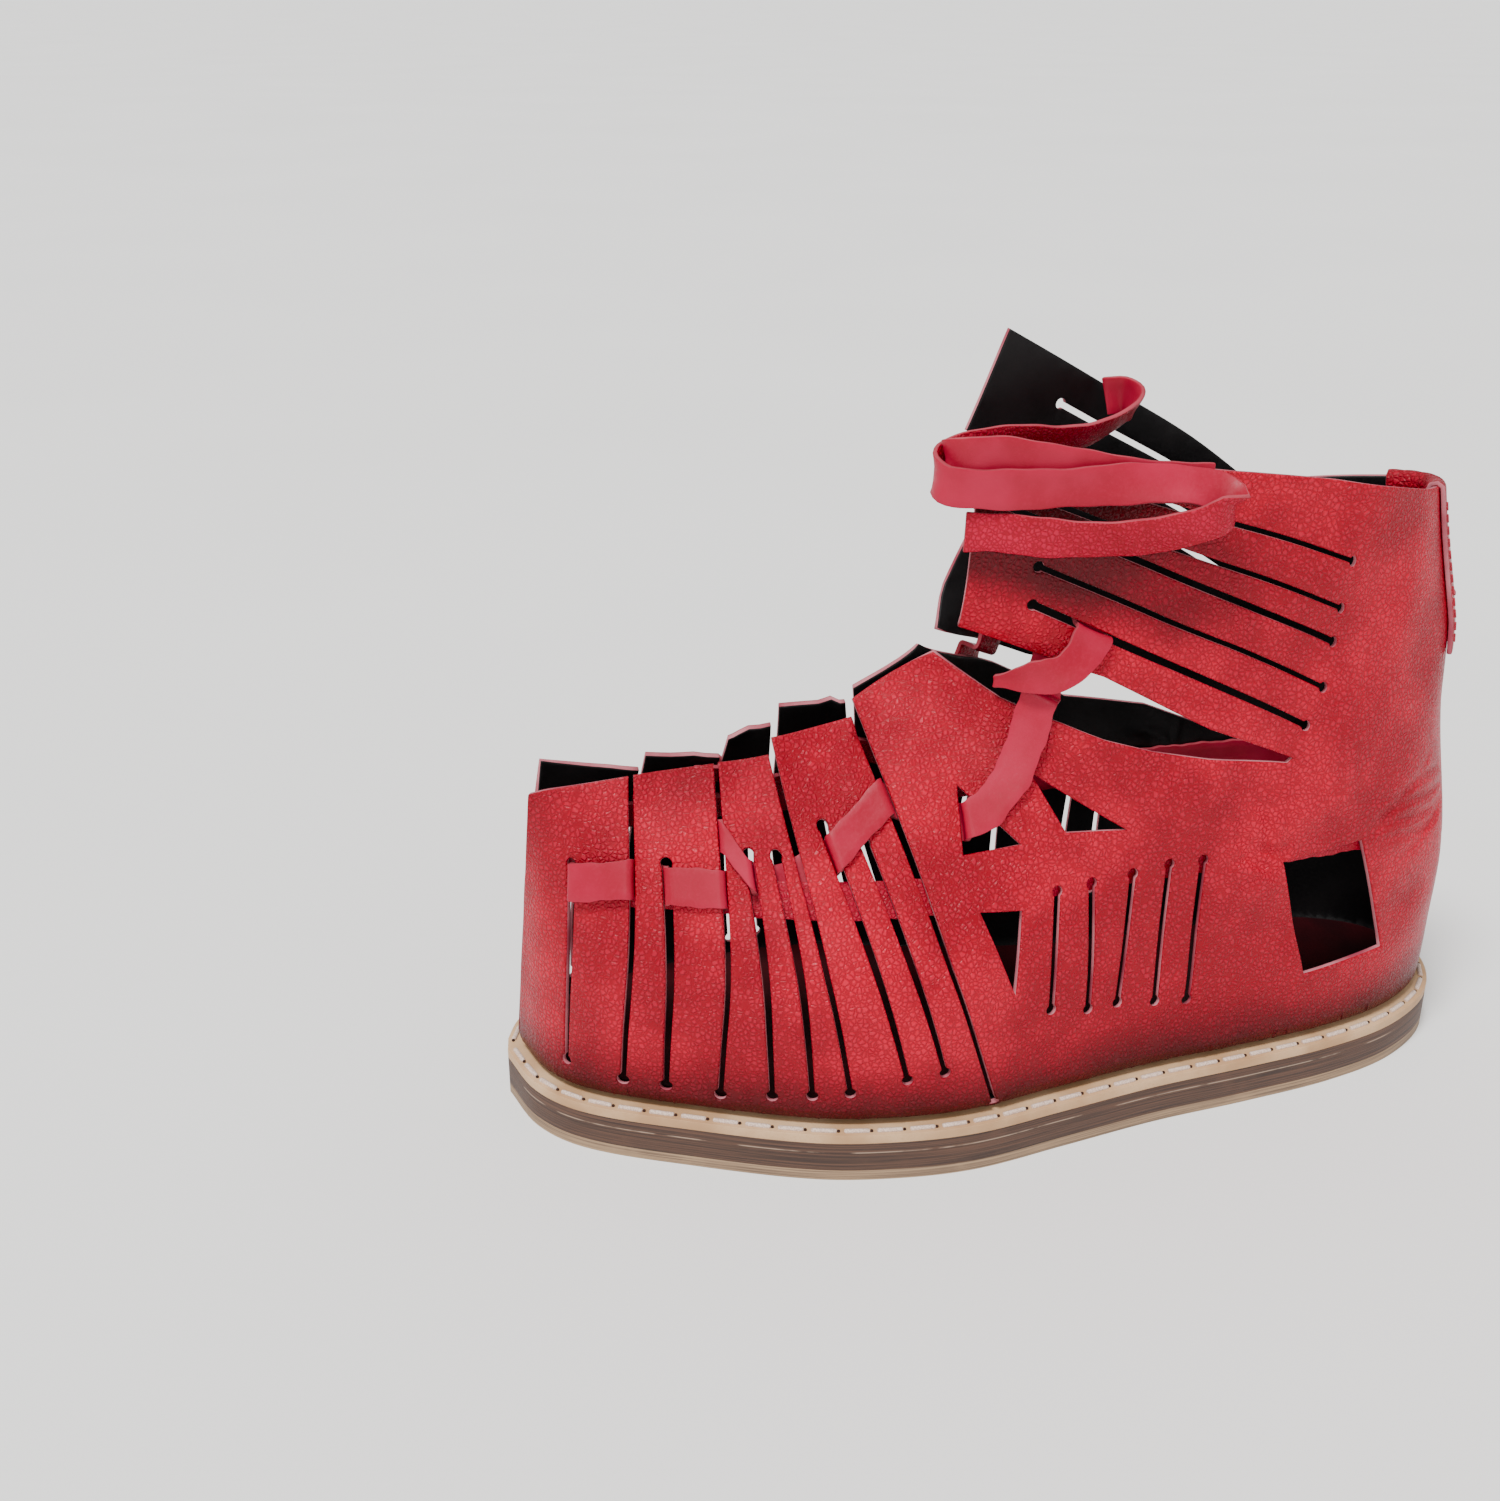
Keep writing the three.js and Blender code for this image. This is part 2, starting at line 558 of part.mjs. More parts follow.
// Outline of one side of the upper, from the toe's foot over its top edge to the heel
function sideOutline(side) {
  const edge = quarterEdge[side];
  const notches = toeNotches.flatMap((notch) => {
    const rises = [notch[`${side}Before`], notch[`${side}After`]];
    const mouthRise = (rises[0] + rises[1]) / 2;
    const path = [
      [notch.mouthGirth, mouthRise], [notch.midGirth, notch.midRise], [notch.footGirth, notch.footRise],
    ];
    path.forEach((place) => (place[0] = lagged(place[0], side)));
    const { mouth, right, end, left } = slitSides(path.map(flat), laceSlitWidth, slitTaper.toReversed());
    mouth[0].setY(heightOf(rises[0]));
    mouth[1].setY(heightOf(rises[1]));
    return [mouth[0], ...right, ...end, ...left, mouth[1]];
  });
  const { front, middle, rear } = frontCut[side];
  const cut = slitSides([front, middle, rear].map(flat), plainSlitWidth, straight);
  const toeX = toe * footLength;
  const toeEdge = [0, 1, 2].map((step) => new THREE.Vector2(toeX, wallFoot - turnLength * (1 - step / 2)));
  return [
    new THREE.Vector2(toeX, wallFoot - turnLength - marginAt(toeX)),
    ...toeEdge,
    flat(toeCorner[side]),
    ...notches,
    ...edge.throat.map(flat),
    cut.mouth[0], ...cut.right, ...cut.end, ...cut.left, cut.mouth[1],
    ...edge.collar.slice(0, -1).map(flat),
    ...stayPlaces().filter((x) => x <= 0).map((x) => onCollar(edge, heel * footLength + x)),
  ];
}

// Places across the back stay and a step beyond, from the middle of the heel
function stayPlaces() {
  const count = stayColumns + 3;
  return Array.from({ length: count }, (_, i) => (stayWidth * (i - 1)) / stayColumns - stayWidth / 2);
}

// Point of the collar on its last line before the heel
function onCollar(edge, x) {
  const [a, b] = edge.collar.slice(-2).map(flat);
  return new THREE.Vector2(x, THREE.MathUtils.mapLinear(x, a.x, b.x, a.y, b.y));
}

// Width of leather under the insole, narrow at the toe where the two sides meet
function marginAt(x) {
  const fromToe = Math.min(x / footLength - toe, otherToe - x / footLength);
  return lastingMargin * THREE.MathUtils.mapLinear(THREE.MathUtils.smoothstep(fromToe, 0, 0.1), 0, 1, 0.2, 1);
}

function sideHoles(side) {
  return [
    ...laceSlits.map((slit) => closedSlit(laggedSlit(slit, side), laceSlitWidth)),
    ...quarterSlits.map((slit) => closedSlit(slit, plainSlitWidth, straight)),
    ...ankleSlits[side].map((slit, index) => {
      return closedSlit(slit, index === laceAnkleSlit ? laceSlitWidth : plainSlitWidth);
    }),
    ...windows.map((window) => window.map(flat)),
  ];
}

// Points spread over the pattern, clear of its edges: rows at the turn, then a staggered field
function spreadPoints(rings) {
  const edges = rings.flat();
  const points = [];
  const add = (x, y, clearance) => {
    const point = new THREE.Vector2(x, y);
    if (edges.every((edge) => edge.distanceTo(point) > clearance)) points.push(point);
  };
  const from = toe * footLength;
  const steps = Math.round(((otherToe - toe) * footLength) / spreadStep);
  const step = ((otherToe - toe) * footLength) / steps;
  for (let column = 1; column < steps; column += 1) {
    for (let row = 0; row < 3; row += 1) {
      add(from + column * step, wallFoot - turnLength * (row / 2), spreadStep * 0.2);
    }
  }
  const rows = Math.ceil(heightOf(quarterEdge.inner.collar[1][1]) / spreadStep);
  for (let row = 1; row < rows; row += 1) {
    const y = wallFoot + row * spreadStep;
    for (const x of stayPlaces()) add(heel * footLength + x, y, spreadStep * 0.3);
    for (let column = 1; column < steps; column += 1) {
      const x = from + (column + (row % 2) / 2) * step;
      if (Math.abs(x - heel * footLength) > stayWidth / 2 + spreadStep) add(x, y, spreadStep * 0.55);
    }
  }
  return points;
}

// Upper: one sheet of leather from the toe round the heel and back to the toe
function buildUpper() {
  const there = sideOutline('outer');
  const back = turnedOver(sideOutline('inner')).slice(1);
  const footEdge = Array.from({ length: footSteps - 1 }, (_, i) => {
    const x = THREE.MathUtils.lerp(otherToe, toe, (i + 1) / footSteps) * footLength;
    return new THREE.Vector2(x, wallFoot - turnLength - marginAt(x));
  });
  const outline = refine([...there, ...back, ...footEdge], edgeStep);
  const rawHoles = [...sideHoles('outer'), ...sideHoles('inner').map(turnedOver)];
  const holes = rawHoles.map((hole) => refine(hole, edgeStep));
  return leatherSolid(outline, holes, spreadPoints([outline, ...holes]), upperLeather);
}

// Plan outline of the shoe at the sole, moved out or in from the upper's bottom line,
// and started a little way from the toe on both sides
function soleOutline(grow, skip) {
  return Array.from({ length: outlineSteps + 1 }, (_, i) => {
    const girth = THREE.MathUtils.lerp(toe + skip, otherToe - skip, i / outlineSteps);
    const outwards = outward(girth, soleTop).setZ(0).normalize();
    const foot = wall(girth, soleTop).addScaledVector(outwards, grow);
    return new THREE.Vector2(foot.x, foot.y);
  });
}

function plate(outline, bottom, thickness) {
  const settings = { depth: thickness, bevelEnabled: false };
  const geometry = new THREE.ExtrudeGeometry(new THREE.Shape(outline), settings);
  return geometry.translate(0, 0, bottom);
}

// Back stay: a strip folded over the collar at the heel
function buildBackStay() {
  const rows = 6;
  const under = [];
  const over = [];
  stayPlaces().slice(1, -1).forEach((place, column) => {
    const x = heel * footLength - Math.abs(place);
    const mirrored = place > 0 ? 2 * heel * footLength - x : x;
    const rim = onCollar(place > 0 ? quarterEdge.inner : quarterEdge.outer, x).y;
    const reach = THREE.MathUtils.lerp(stayOutside.outer, stayOutside.inner, column / stayColumns);
    const top = rim + fit;
    const steps = Array.from({ length: rows + 1 }, (_, step) => step);
    const outside = steps.map((step) => [top - (reach * (rows - step)) / rows, -fit, -1]);
    const inside = steps.map((step) => [top - (stayInside * step) / rows, upperLeather + fit, 1]);
    const path = [...outside, ...inside];
    under.push(path.map(([height, depth]) => onLeather(new THREE.Vector2(mirrored, height), depth)));
    over.push(path.map(([height, depth, side], index) => {
      const lift = index === rows || index === rows + 1 ? stayLeather : 0;
      return onLeather(new THREE.Vector2(mirrored, height), depth + side * stayLeather).setZ(height + lift);
    }));
  });
  return sheet(over, under);
}

// Flat thong through stations, each with its middle and the direction of its width
function thong(stations, width) {
  const last = stations.length - 1;
  const middles = stations.map((station) => station.middle);
  const headings = middles.slice(1).map((middle, i) => middle.clone().sub(middles[i]).normalize());
  const top = [];
  const bottom = [];
  stations.forEach(({ middle, across }, index) => {
    const before = headings[Math.max(index - 1, 0)].clone().cross(across).normalize();
    const after = headings[Math.min(index, last - 1)].clone().cross(across).normalize();
    const spread = 1 + before.dot(after);
    const mitre = before.clone().add(after).divideScalar(spread).multiplyScalar(laceThickness / 2);
    const edges = [-width / 2, width / 2].map((side) => middle.clone().addScaledVector(across, side));
    top.push(edges.map((edge) => edge.clone().add(mitre)));
    bottom.push(edges.map((edge) => edge.clone().sub(mitre)));
  });
  return sheet(top, bottom);
}

function layerDepth(layer) {
  if (layer < 0) return -laceClearance - laceThickness / 2 + (layer + 1) * (laceThickness + fit);
  return upperLeather + laceClearance + laceThickness / 2 + (layer - 1) * (laceThickness + fit);
}

// Stations of a lace laid on the wall, no further apart than the lace's step
function wallStations(rows, side) {
  const places = rows.map(({ girth, rise, layer, tilt }) => {
    const angle = THREE.MathUtils.degToRad(side === 'outer' ? tilt : -tilt);
    const place = lagged(girth, side);
    const point = flat([side === 'outer' ? place : 2 * heel - place, rise]);
    return { point, depth: layerDepth(layer), angle };
  });
  return places.flatMap((place, index) => {
    const next = places[index + 1] ?? place;
    const steps = Math.max(1, Math.ceil(place.point.distanceTo(next.point) / laceStep));
    return Array.from({ length: steps }, (_, i) => {
      const point = place.point.clone().lerp(next.point, i / steps);
      const depth = THREE.MathUtils.lerp(place.depth, next.depth, i / steps);
      const angle = THREE.MathUtils.lerp(place.angle, next.angle, i / steps);
      const across = new THREE.Vector2(Math.sin(angle), Math.cos(angle));
      const ends = [-1, 1].map((way) => onLeather(point.clone().addScaledVector(across, way), depth));
      return { middle: onLeather(point, depth), across: ends[1].sub(ends[0]).normalize() };
    });
  });
}

function freeStations(rows) {
  return rows.map(({ x, y, z, back, out }) => {
    const [lean, tip] = [back, out].map((angle) => Math.tan(THREE.MathUtils.degToRad(angle)));
    return { middle: new THREE.Vector3(x, y, z), across: new THREE.Vector3(tip, lean, 1).normalize() };
  });
}

const red = { color: 0xb5162c, roughness: 0.5, metalness: 0 };
const brown = { color: 0x5a4138, roughness: 0.8, metalness: 0 };
const tan = { color: 0xe0c8a0, roughness: 0.7, metalness: 0 };

const sandal = new THREE.Group();

function addPiece(name, geometry, look) {
  const mesh = new THREE.Mesh(geometry, new THREE.MeshStandardMaterial(look));
  mesh.name = name;
  sandal.add(mesh);
}

const soleShape = soleOutline(weltLedge, 0);
addPiece('outsole', plate(soleShape, 0, outsoleThickness), brown);
addPiece('midsole', plate(soleShape, outsoleThickness, midsoleThickness), brown);
addPiece('welt', plate(soleShape, outsoleThickness + midsoleThickness, weltThickness), tan);
const insoleBottom = upperFloor + upperLeather + fit;
const insoleShape = soleOutline(-turnRadius - 3 * fit, insoleSkip);
addPiece('insole', plate(insoleShape, insoleBottom, insoleThickness), tan);
addPiece('upper', buildUpper(), red);
addPiece('back_stay', buildBackStay(), red);
const laceSide = (side) => wallStations([...mainLace, ...laceEnds[side]], side);
const [thereLace, backLace] = ['outer', 'inner'].map(laceSide);
addPiece('main_lace', thong([...thereLace.reverse(), ...backLace], laceWidth), red);
addPiece('cross_lace_outer', thong(wallStations(crossLace, 'outer'), crossLaceWidth), red);
addPiece('cross_lace_inner', thong(wallStations(crossLace, 'inner'), crossLaceWidth), red);
addPiece('ankle_lace', thong(wallStations(ankleLace, 'outer'), laceWidth), red);
addPiece('bow_lace', thong(freeStations(bowLace), laceWidth), red);
addPiece('band_lace', thong(freeStations(bandLace), laceWidth), red);

export default sandal;
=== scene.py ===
# Laced caliga sandal in red leather, a left shoe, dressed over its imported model.
# Shapes are worked out in millimetres, and every mesh is brought to metres at its end.
import math
import bmesh
import bpy
import numpy as np
from mathutils import Matrix, Vector


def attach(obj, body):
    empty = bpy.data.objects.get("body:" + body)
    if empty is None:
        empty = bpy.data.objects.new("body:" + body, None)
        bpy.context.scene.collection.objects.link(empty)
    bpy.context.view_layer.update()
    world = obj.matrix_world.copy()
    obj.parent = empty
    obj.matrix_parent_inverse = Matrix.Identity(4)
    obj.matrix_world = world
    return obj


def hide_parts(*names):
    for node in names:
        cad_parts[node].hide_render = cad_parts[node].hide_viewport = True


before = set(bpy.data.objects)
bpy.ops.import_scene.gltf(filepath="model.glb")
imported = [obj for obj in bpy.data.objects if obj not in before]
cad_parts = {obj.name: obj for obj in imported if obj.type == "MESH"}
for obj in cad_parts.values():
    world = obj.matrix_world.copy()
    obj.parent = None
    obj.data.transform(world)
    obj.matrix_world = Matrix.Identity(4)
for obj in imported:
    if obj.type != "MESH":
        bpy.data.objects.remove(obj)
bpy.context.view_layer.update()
mm = 0.001
print("frame loaded")

# camera at the photo's angle
viewpoint = dict(eye=(417.5, -173.1, 290.3), target=(-89.9, -49.9, 62.3), lens=42.57, film=36)


def makeCamera():
    data = bpy.data.cameras.new("camera")
    data.lens = viewpoint["lens"]
    data.sensor_width = viewpoint["film"]
    data.clip_start = 0.01
    camera = bpy.data.objects.new("camera", data)
    bpy.context.scene.collection.objects.link(camera)
    eye = Vector(viewpoint["eye"]) * mm
    camera.location = eye
    camera.rotation_mode = "QUATERNION"
    camera.rotation_quaternion = (Vector(viewpoint["target"]) * mm - eye).to_track_quat("-Z", "Y")
    bpy.context.scene.camera = camera


makeCamera()

# the shoe's own sizes, the same as in the part's source, but for plain slits that are 0.4 mm wider
shoe = dict(
    footLength=272, ballWidth=96, instepHeight=127, collarHeight=175,
    outsole=3, midsole=8.4, welt=2.6, weltLedge=3.5, insole=2, insoleSkip=0.03,
    leather=2, stayLeather=1.4, turnRadius=4, lastingMargin=10,
    laceSlit=2.4, plainSlit=1.8, punch=1.5, heelBulge=2,
    laceWidth=10, crossLaceWidth=8.6, laceThickness=1.2, laceClearance=0.7,
    stayWidth=40, stayInside=78, stayOuter=50, stayInner=36, fit=0.3,
)
footLength = shoe["footLength"]
soleTop = shoe["outsole"] + shoe["midsole"] + shoe["welt"]
wallFoot = soleTop + shoe["fit"] + shoe["turnRadius"]
turnLength = math.pi / 2 * shoe["turnRadius"]

# ribs of the wall: girth, station, then the half breadths foot, side, top, brow, cuff, crown, and lean
outerRibs = [
    [-0.546, -0.5, -0.11, -0.07, -0.01, -0.01, -0.01, -0.01, 0.08],
    [-0.494, -0.481, 0.07, 0.04, -0.01, -0.01, -0.01, -0.01, 0.07],
    [-0.436, -0.441, 0.2, 0.16, -0.01, -0.01, -0.01, -0.01, 0.06],
    [-0.35, -0.351, 0.34, 0.29, 0, -0.02, -0.02, -0.02, 0.03],
    [-0.24, -0.24, 0.48, 0.43, 0.05, 0.02, 0.02, 0.02, 0],
    [-0.16, -0.16, 0.53, 0.48, 0.06, -0.03, 0.1, 0.15, 0],
    [-0.086, -0.086, 0.54, 0.48, 0.14, 0.04, 0.19, 0.2, 0],
    [0.006, 0.006, 0.5, 0.43, 0.28, 0.25, 0.24, 0.23, 0],
    [0.116, 0.116, 0.45, 0.39, 0.32, 0.29, 0.28, 0.27, 0],
    [0.226, 0.226, 0.42, 0.38, 0.33, 0.31, 0.31, 0.29, 0],
    [0.336, 0.329, 0.38, 0.36, 0.32, 0.3, 0.3, 0.28, -0.02],
    [0.428, 0.41, 0.31, 0.31, 0.26, 0.245, 0.24, 0.22, -0.04],
    [0.509, 0.474, 0.18, 0.19, 0.15, 0.14, 0.135, 0.125, -0.06],
    [0.579, 0.5, 0, 0, 0, 0, 0, 0, -0.066],
]
innerRibs = [
    [-0.546, -0.5, -0.13, -0.16, -0.24, -0.24, -0.24, -0.24, 0.08],
    [-0.494, -0.481, -0.25, -0.27, -0.24, -0.24, -0.24, -0.24, 0.06],
    [-0.436, -0.441, -0.34, -0.35, -0.22, -0.22, -0.22, -0.22, 0.04],
    [-0.35, -0.351, -0.43, -0.43, -0.16, -0.13, -0.13, -0.13, 0.015],
    [-0.24, -0.24, -0.47, -0.44, -0.14, -0.1, -0.1, -0.1, 0],
    [-0.16, -0.16, -0.46, -0.43, -0.12, -0.07, -0.13, -0.15, 0],
    [-0.086, -0.086, -0.4, -0.38, -0.13, -0.05, -0.17, -0.18, 0],
    [0.006, 0.006, -0.33, -0.35, -0.26, -0.23, -0.22, -0.21, 0],
    [0.116, 0.116, -0.28, -0.32, -0.29, -0.28, -0.27, -0.26, 0],
    [0.226, 0.226, -0.28, -0.32, -0.3, -0.3, -0.29, -0.28, 0],
    [0.336, 0.329, -0.28, -0.31, -0.29, -0.28, -0.275, -0.26, -0.02],
    [0.428, 0.41, -0.25, -0.27, -0.24, -0.23, -0.22, -0.21, -0.04],
    [0.509, 0.474, -0.15, -0.165, -0.14, -0.13, -0.125, -0.12, -0.06],
    [0.579, 0.5, 0, 0, 0, 0, 0, 0, -0.066],
]
levelRises = [0, 0.39, 0.85, 1.0, 1.27, 2.0]
toe = outerRibs[0][0]
heel = outerRibs[-1][0]
otherToe = 2 * heel - toe
twiceHeel = 2 * heel * footLength  # a place of the pattern taken from this is its mirror image
ribs = np.array(outerRibs + [[2 * heel - row[0]] + row[1:] for row in innerRibs[-2::-1]])


def smoothstep(value, low, high):
    share = np.clip((value - low) / (high - low), 0, 1)
    return share * share * (3 - 2 * share)


def heightOf(rise):
    below = soleTop + rise * (shoe["instepHeight"] - soleTop)
    above = shoe["instepHeight"] + (rise - 1) * (shoe["collarHeight"] - shoe["instepHeight"])
    return np.where(rise <= 1, below, above)


def riseOf(height):
    below = (height - soleTop) / (shoe["instepHeight"] - soleTop)
    above = 1 + (height - shoe["instepHeight"]) / (shoe["collarHeight"] - shoe["instepHeight"])
    return np.where(height <= shoe["instepHeight"], below, above)


# smooth curve through a table, straight beyond its ends
def follow(places, values, place):
    places = np.asarray(places, float)
    values = np.asarray(values, float)
    if values.ndim == 1:
        values = np.repeat(values[:, None], len(place), axis=1)
    last = len(places) - 1
    index = np.arange(last + 1)
    before = np.maximum(index - 1, 0)
    after = np.minimum(index + 1, last)
    slope = (values[after] - values[before]) / (places[after] - places[before])[:, None]
    at = np.clip(np.searchsorted(places, place, side="left") - 1, 0, last - 1)
    column = np.arange(len(place))
    span = places[at + 1] - places[at]
    t = (place - places[at]) / span
    ease = t * t * (3 - 2 * t)
    leave = t * (1 - t) ** 2 * span * slope[at, column]
    arrive = t * t * (1 - t) * span * slope[at + 1, column]
    between = values[at, column] * (1 - ease) + values[at + 1, column] * ease + leave - arrive
    early = values[0] + slope[0] * (place - places[0])
    late = values[last] + slope[last] * (place - places[last])
    return np.where(t < 0, early, np.where(t > 1, late, between))


# outer face of the wall, at girths round the shoe and heights
def wall(girth, height):
    girth = np.asarray(girth, float)
    height = np.asarray(height, float)
    rise = riseOf(height)
    breadths = np.array([follow(ribs[:, 0], ribs[:, column], girth) for column in range(2, 8)])
    lean = follow(ribs[:, 0], ribs[:, 8], girth) * (np.maximum(rise, 0) / 2.0) ** 1.3
    nearHeel = smoothstep(-np.abs(girth - heel), -0.28, -0.03)
    bulge = shoe["heelBulge"] * nearHeel * np.sin(math.pi * np.clip(rise / 0.8, 0, 1))
    station = follow(ribs[:, 0], ribs[:, 1], girth) + lean
    breadth = follow(levelRises, breadths, rise)
    return np.stack([breadth * shoe["ballWidth"], station * footLength + bulge, height], axis=1)


def unit(vectors):
    return vectors / np.maximum(np.linalg.norm(vectors, axis=1), 1e-9)[:, None]


def outward(girth, height):
    step = 0.004
    along = wall(np.minimum(girth + step, otherToe), height) - wall(np.maximum(girth - step, toe), height)
    up = wall(girth, height + 1) - wall(girth, height - 1)
    return unit(np.cross(along, up))


# place on the leather of points of its flat pattern, at depths below the outer face
def onLeather(x, y, depth):
    girth = x / footLength
    below = wallFoot - y
    flatSide = wall(girth, np.maximum(y, wallFoot))
    normal = outward(girth, np.maximum(y, wallFoot))
    onWall = flatSide - normal * depth[:, None]
    inwards = normal * [-1, -1, 0]
    fromToe = np.minimum(girth - toe, otherToe - girth)
    inwards = unit(inwards)
    inwards[:, 0] *= smoothstep(fromToe, 0, 0.1)
    inwards = unit(inwards)
    angle = np.clip(below / shoe["turnRadius"], 0, math.pi / 2)
    radius = shoe["turnRadius"] - depth
    inset = shoe["turnRadius"] - radius * np.cos(angle) + np.maximum(below - turnLength, 0)
    turned = flatSide + inwards * inset[:, None]
    turned[:, 2] = wallFoot - radius * np.sin(angle)
    return np.where((below <= 0)[:, None], onWall, turned)


# colours and nodes
def paint(code):
    parts = [int(code[i:i + 2], 16) / 255 for i in (1, 3, 5)]
    return tuple(c / 12.92 if c <= 0.04045 else ((c + 0.055) / 1.055) ** 2.4 for c in parts) + (1.0,)


def addNode(material, kind, settings, links=()):
    node = material.node_tree.nodes.new(kind)
    for key, value in settings.items():
        if isinstance(key, int) or key[0].isupper():
            node.inputs[key].default_value = value
        else:
            setattr(node, key, value)
    for key, source in dict(links).items():
        material.node_tree.links.new(source, node.inputs[key])
    return node


def startMaterial(name, **shader):
    material = bpy.data.materials.new(name)
    material.use_nodes = True
    nodes = material.node_tree.nodes
    nodes.clear()
    surface = addNode(material, "ShaderNodeBsdfPrincipled", shader)
    addNode(material, "ShaderNodeOutputMaterial", {}, {"Surface": surface.outputs[0]})
    place = addNode(material, "ShaderNodeTexCoord", {})
    return material, surface, place.outputs["Object"]


def mixColours(material, first, second, factor):
    settings = {"data_type": "RGBA"}
    links = {0: factor}
    for socket, colour in ((6, first), (7, second)):
        if isinstance(colour, str):
            settings[socket] = paint(colour)
        else:
            links[socket] = colour
    return addNode(material, "ShaderNodeMix", settings, links).outputs[2]


def ranged(material, value, low, high, first=0.0, last=1.0):
    settings = {"From Min": low, "From Max": high, "To Min": first, "To Max": last}
    settings["interpolation_type"] = "SMOOTHSTEP"
    return addNode(material, "ShaderNodeMapRange", settings, {"Value": value}).outputs[0]


def connect(material, source, target):
    material.node_tree.links.new(source, target)


# noise with its waves counted per metre
def cloudy(material, place, scale, detail, rough=0.5, output="Fac"):
    settings = {"Scale": scale, "Detail": detail, "Roughness": rough}
    return addNode(material, "ShaderNodeTexNoise", settings, {"Vector": place}).outputs[output]


def bump(material, surface, height, strength, distance, under=None):
    links = {"Height": height} if under is None else {"Height": height, "Normal": under}
    node = addNode(material, "ShaderNodeBump", {"Strength": strength, "Distance": distance}, links)
    connect(material, node.outputs[0], surface.inputs["Normal"])
    return node.outputs[0]


# Goat leather, drum dyed red and lightly finished: small raised pebbles about 1.3 mm across, with a painted
# highlight of paler red on their crowns and painted shade in the valleys between them, over softer clouds of
# colour. Sizes in mm, drift per metre.
goatGrain = dict(pebble=1.3, drift=420, pull=0.9, pore=0.35, cloud=28, high="#BE0028", low="#8A0018",
                 deep="#260406", paintedHighlight="#E0204A")


def grainLeather(name, look, gloss=0.33, relief=0.8):
    finish = {"Roughness": gloss, "IOR": 1.5, "Specular IOR Level": 0.14, "Coat Weight": 0.05,
              "Coat Roughness": 0.3}
    material, surface, place = startMaterial(name, **finish)
    drift = cloudy(material, place, look["drift"], 2, output="Color")
    pull = addNode(material, "ShaderNodeVectorMath", {"operation": "SCALE", "Scale": look["pull"] * mm},
                   {0: drift})
    drawn = addNode(material, "ShaderNodeVectorMath", {"operation": "ADD"}, {0: place, 1: pull.outputs[0]})
    pebbles = addNode(material, "ShaderNodeTexVoronoi",
                      {"feature": "DISTANCE_TO_EDGE", "Scale": 1 / (look["pebble"] * mm)},
                      {"Vector": drawn.outputs[0]})
    crowns = ranged(material, pebbles.outputs["Distance"], 0.0, 0.32)
    pores = cloudy(material, place, 1 / (look["pore"] * mm), 3)
    clouds = cloudy(material, place, 1 / (look["cloud"] * mm), 4, 0.6)
    patch = ranged(material, clouds, 0.35, 0.68)
    body = mixColours(material, look["low"], look["high"], patch)
    # painted highlight: paler red mixed onto the pebble crowns; painted shade: the valleys between them go
    # back towards the darker red
    lit = mixColours(material, body, look["paintedHighlight"], ranged(material, crowns, 0.3, 1.0, 0.0, 0.22))
    valley = mixColours(material, look["low"], lit, ranged(material, crowns, 0.0, 0.35, 0.35, 1.0))
    # the shade attribute darkens the colour towards the deep red: painted shade towards the sole, and darker
    # leather on the ankle flap, the toe tabs and the back stay
    shade = addNode(material, "ShaderNodeAttribute", {"attribute_name": "shade"})
    shadedColour = mixColours(material, valley, look["deep"], shade.outputs["Fac"])
    connect(material, shadedColour, surface.inputs["Base Color"])
    connect(material, ranged(material, pores, 0.3, 0.7, gloss - 0.06, gloss + 0.12),
            surface.inputs["Roughness"])
    fine = bump(material, surface, pores, 0.25, 0.0001)
    bump(material, surface, crowns, relief, 0.0003, fine)
    return material


# Smooth flesh or lining side, buffed: faint long fibres and a soft even sheen
def fleshLeather(name, main, other, gloss, fibre=0.9, shine=0.25):
    finish = {"Roughness": gloss, "IOR": 1.48, "Specular IOR Level": shine}
    material, surface, place = startMaterial(name, **finish)
    fibres = cloudy(material, place, 1 / (fibre * mm), 5, 0.65)
    clouds = cloudy(material, place, 55, 3)
    mixed = mixColours(material, main, other, ranged(material, clouds, 0.35, 0.7))
    fuzzed = mixColours(material, mixed, other, ranged(material, fibres, 0.45, 0.75, 0.0, 0.4))
    connect(material, fuzzed, surface.inputs["Base Color"])
    connect(material, ranged(material, fibres, 0.3, 0.7, gloss - 0.05, gloss + 0.1),
            surface.inputs["Roughness"])
    bump(material, surface, fibres, 0.35, 0.00015)
    return material


# Raw cut edge of dyed leather: pale core with short fibres, a little dye soaked in
def cutLeather(name, main, other):
    return fleshLeather(name, main, other, 0.75, 0.3)


# Sole leather seen on its edge: pressed layers, sanded, stained brown and rubbed
soleLook = dict(layer=0.42, high="#5C3E2E", low="#2C1C15", line="#A88F7A", lineHeight=8.6, lineDepth=0.3)


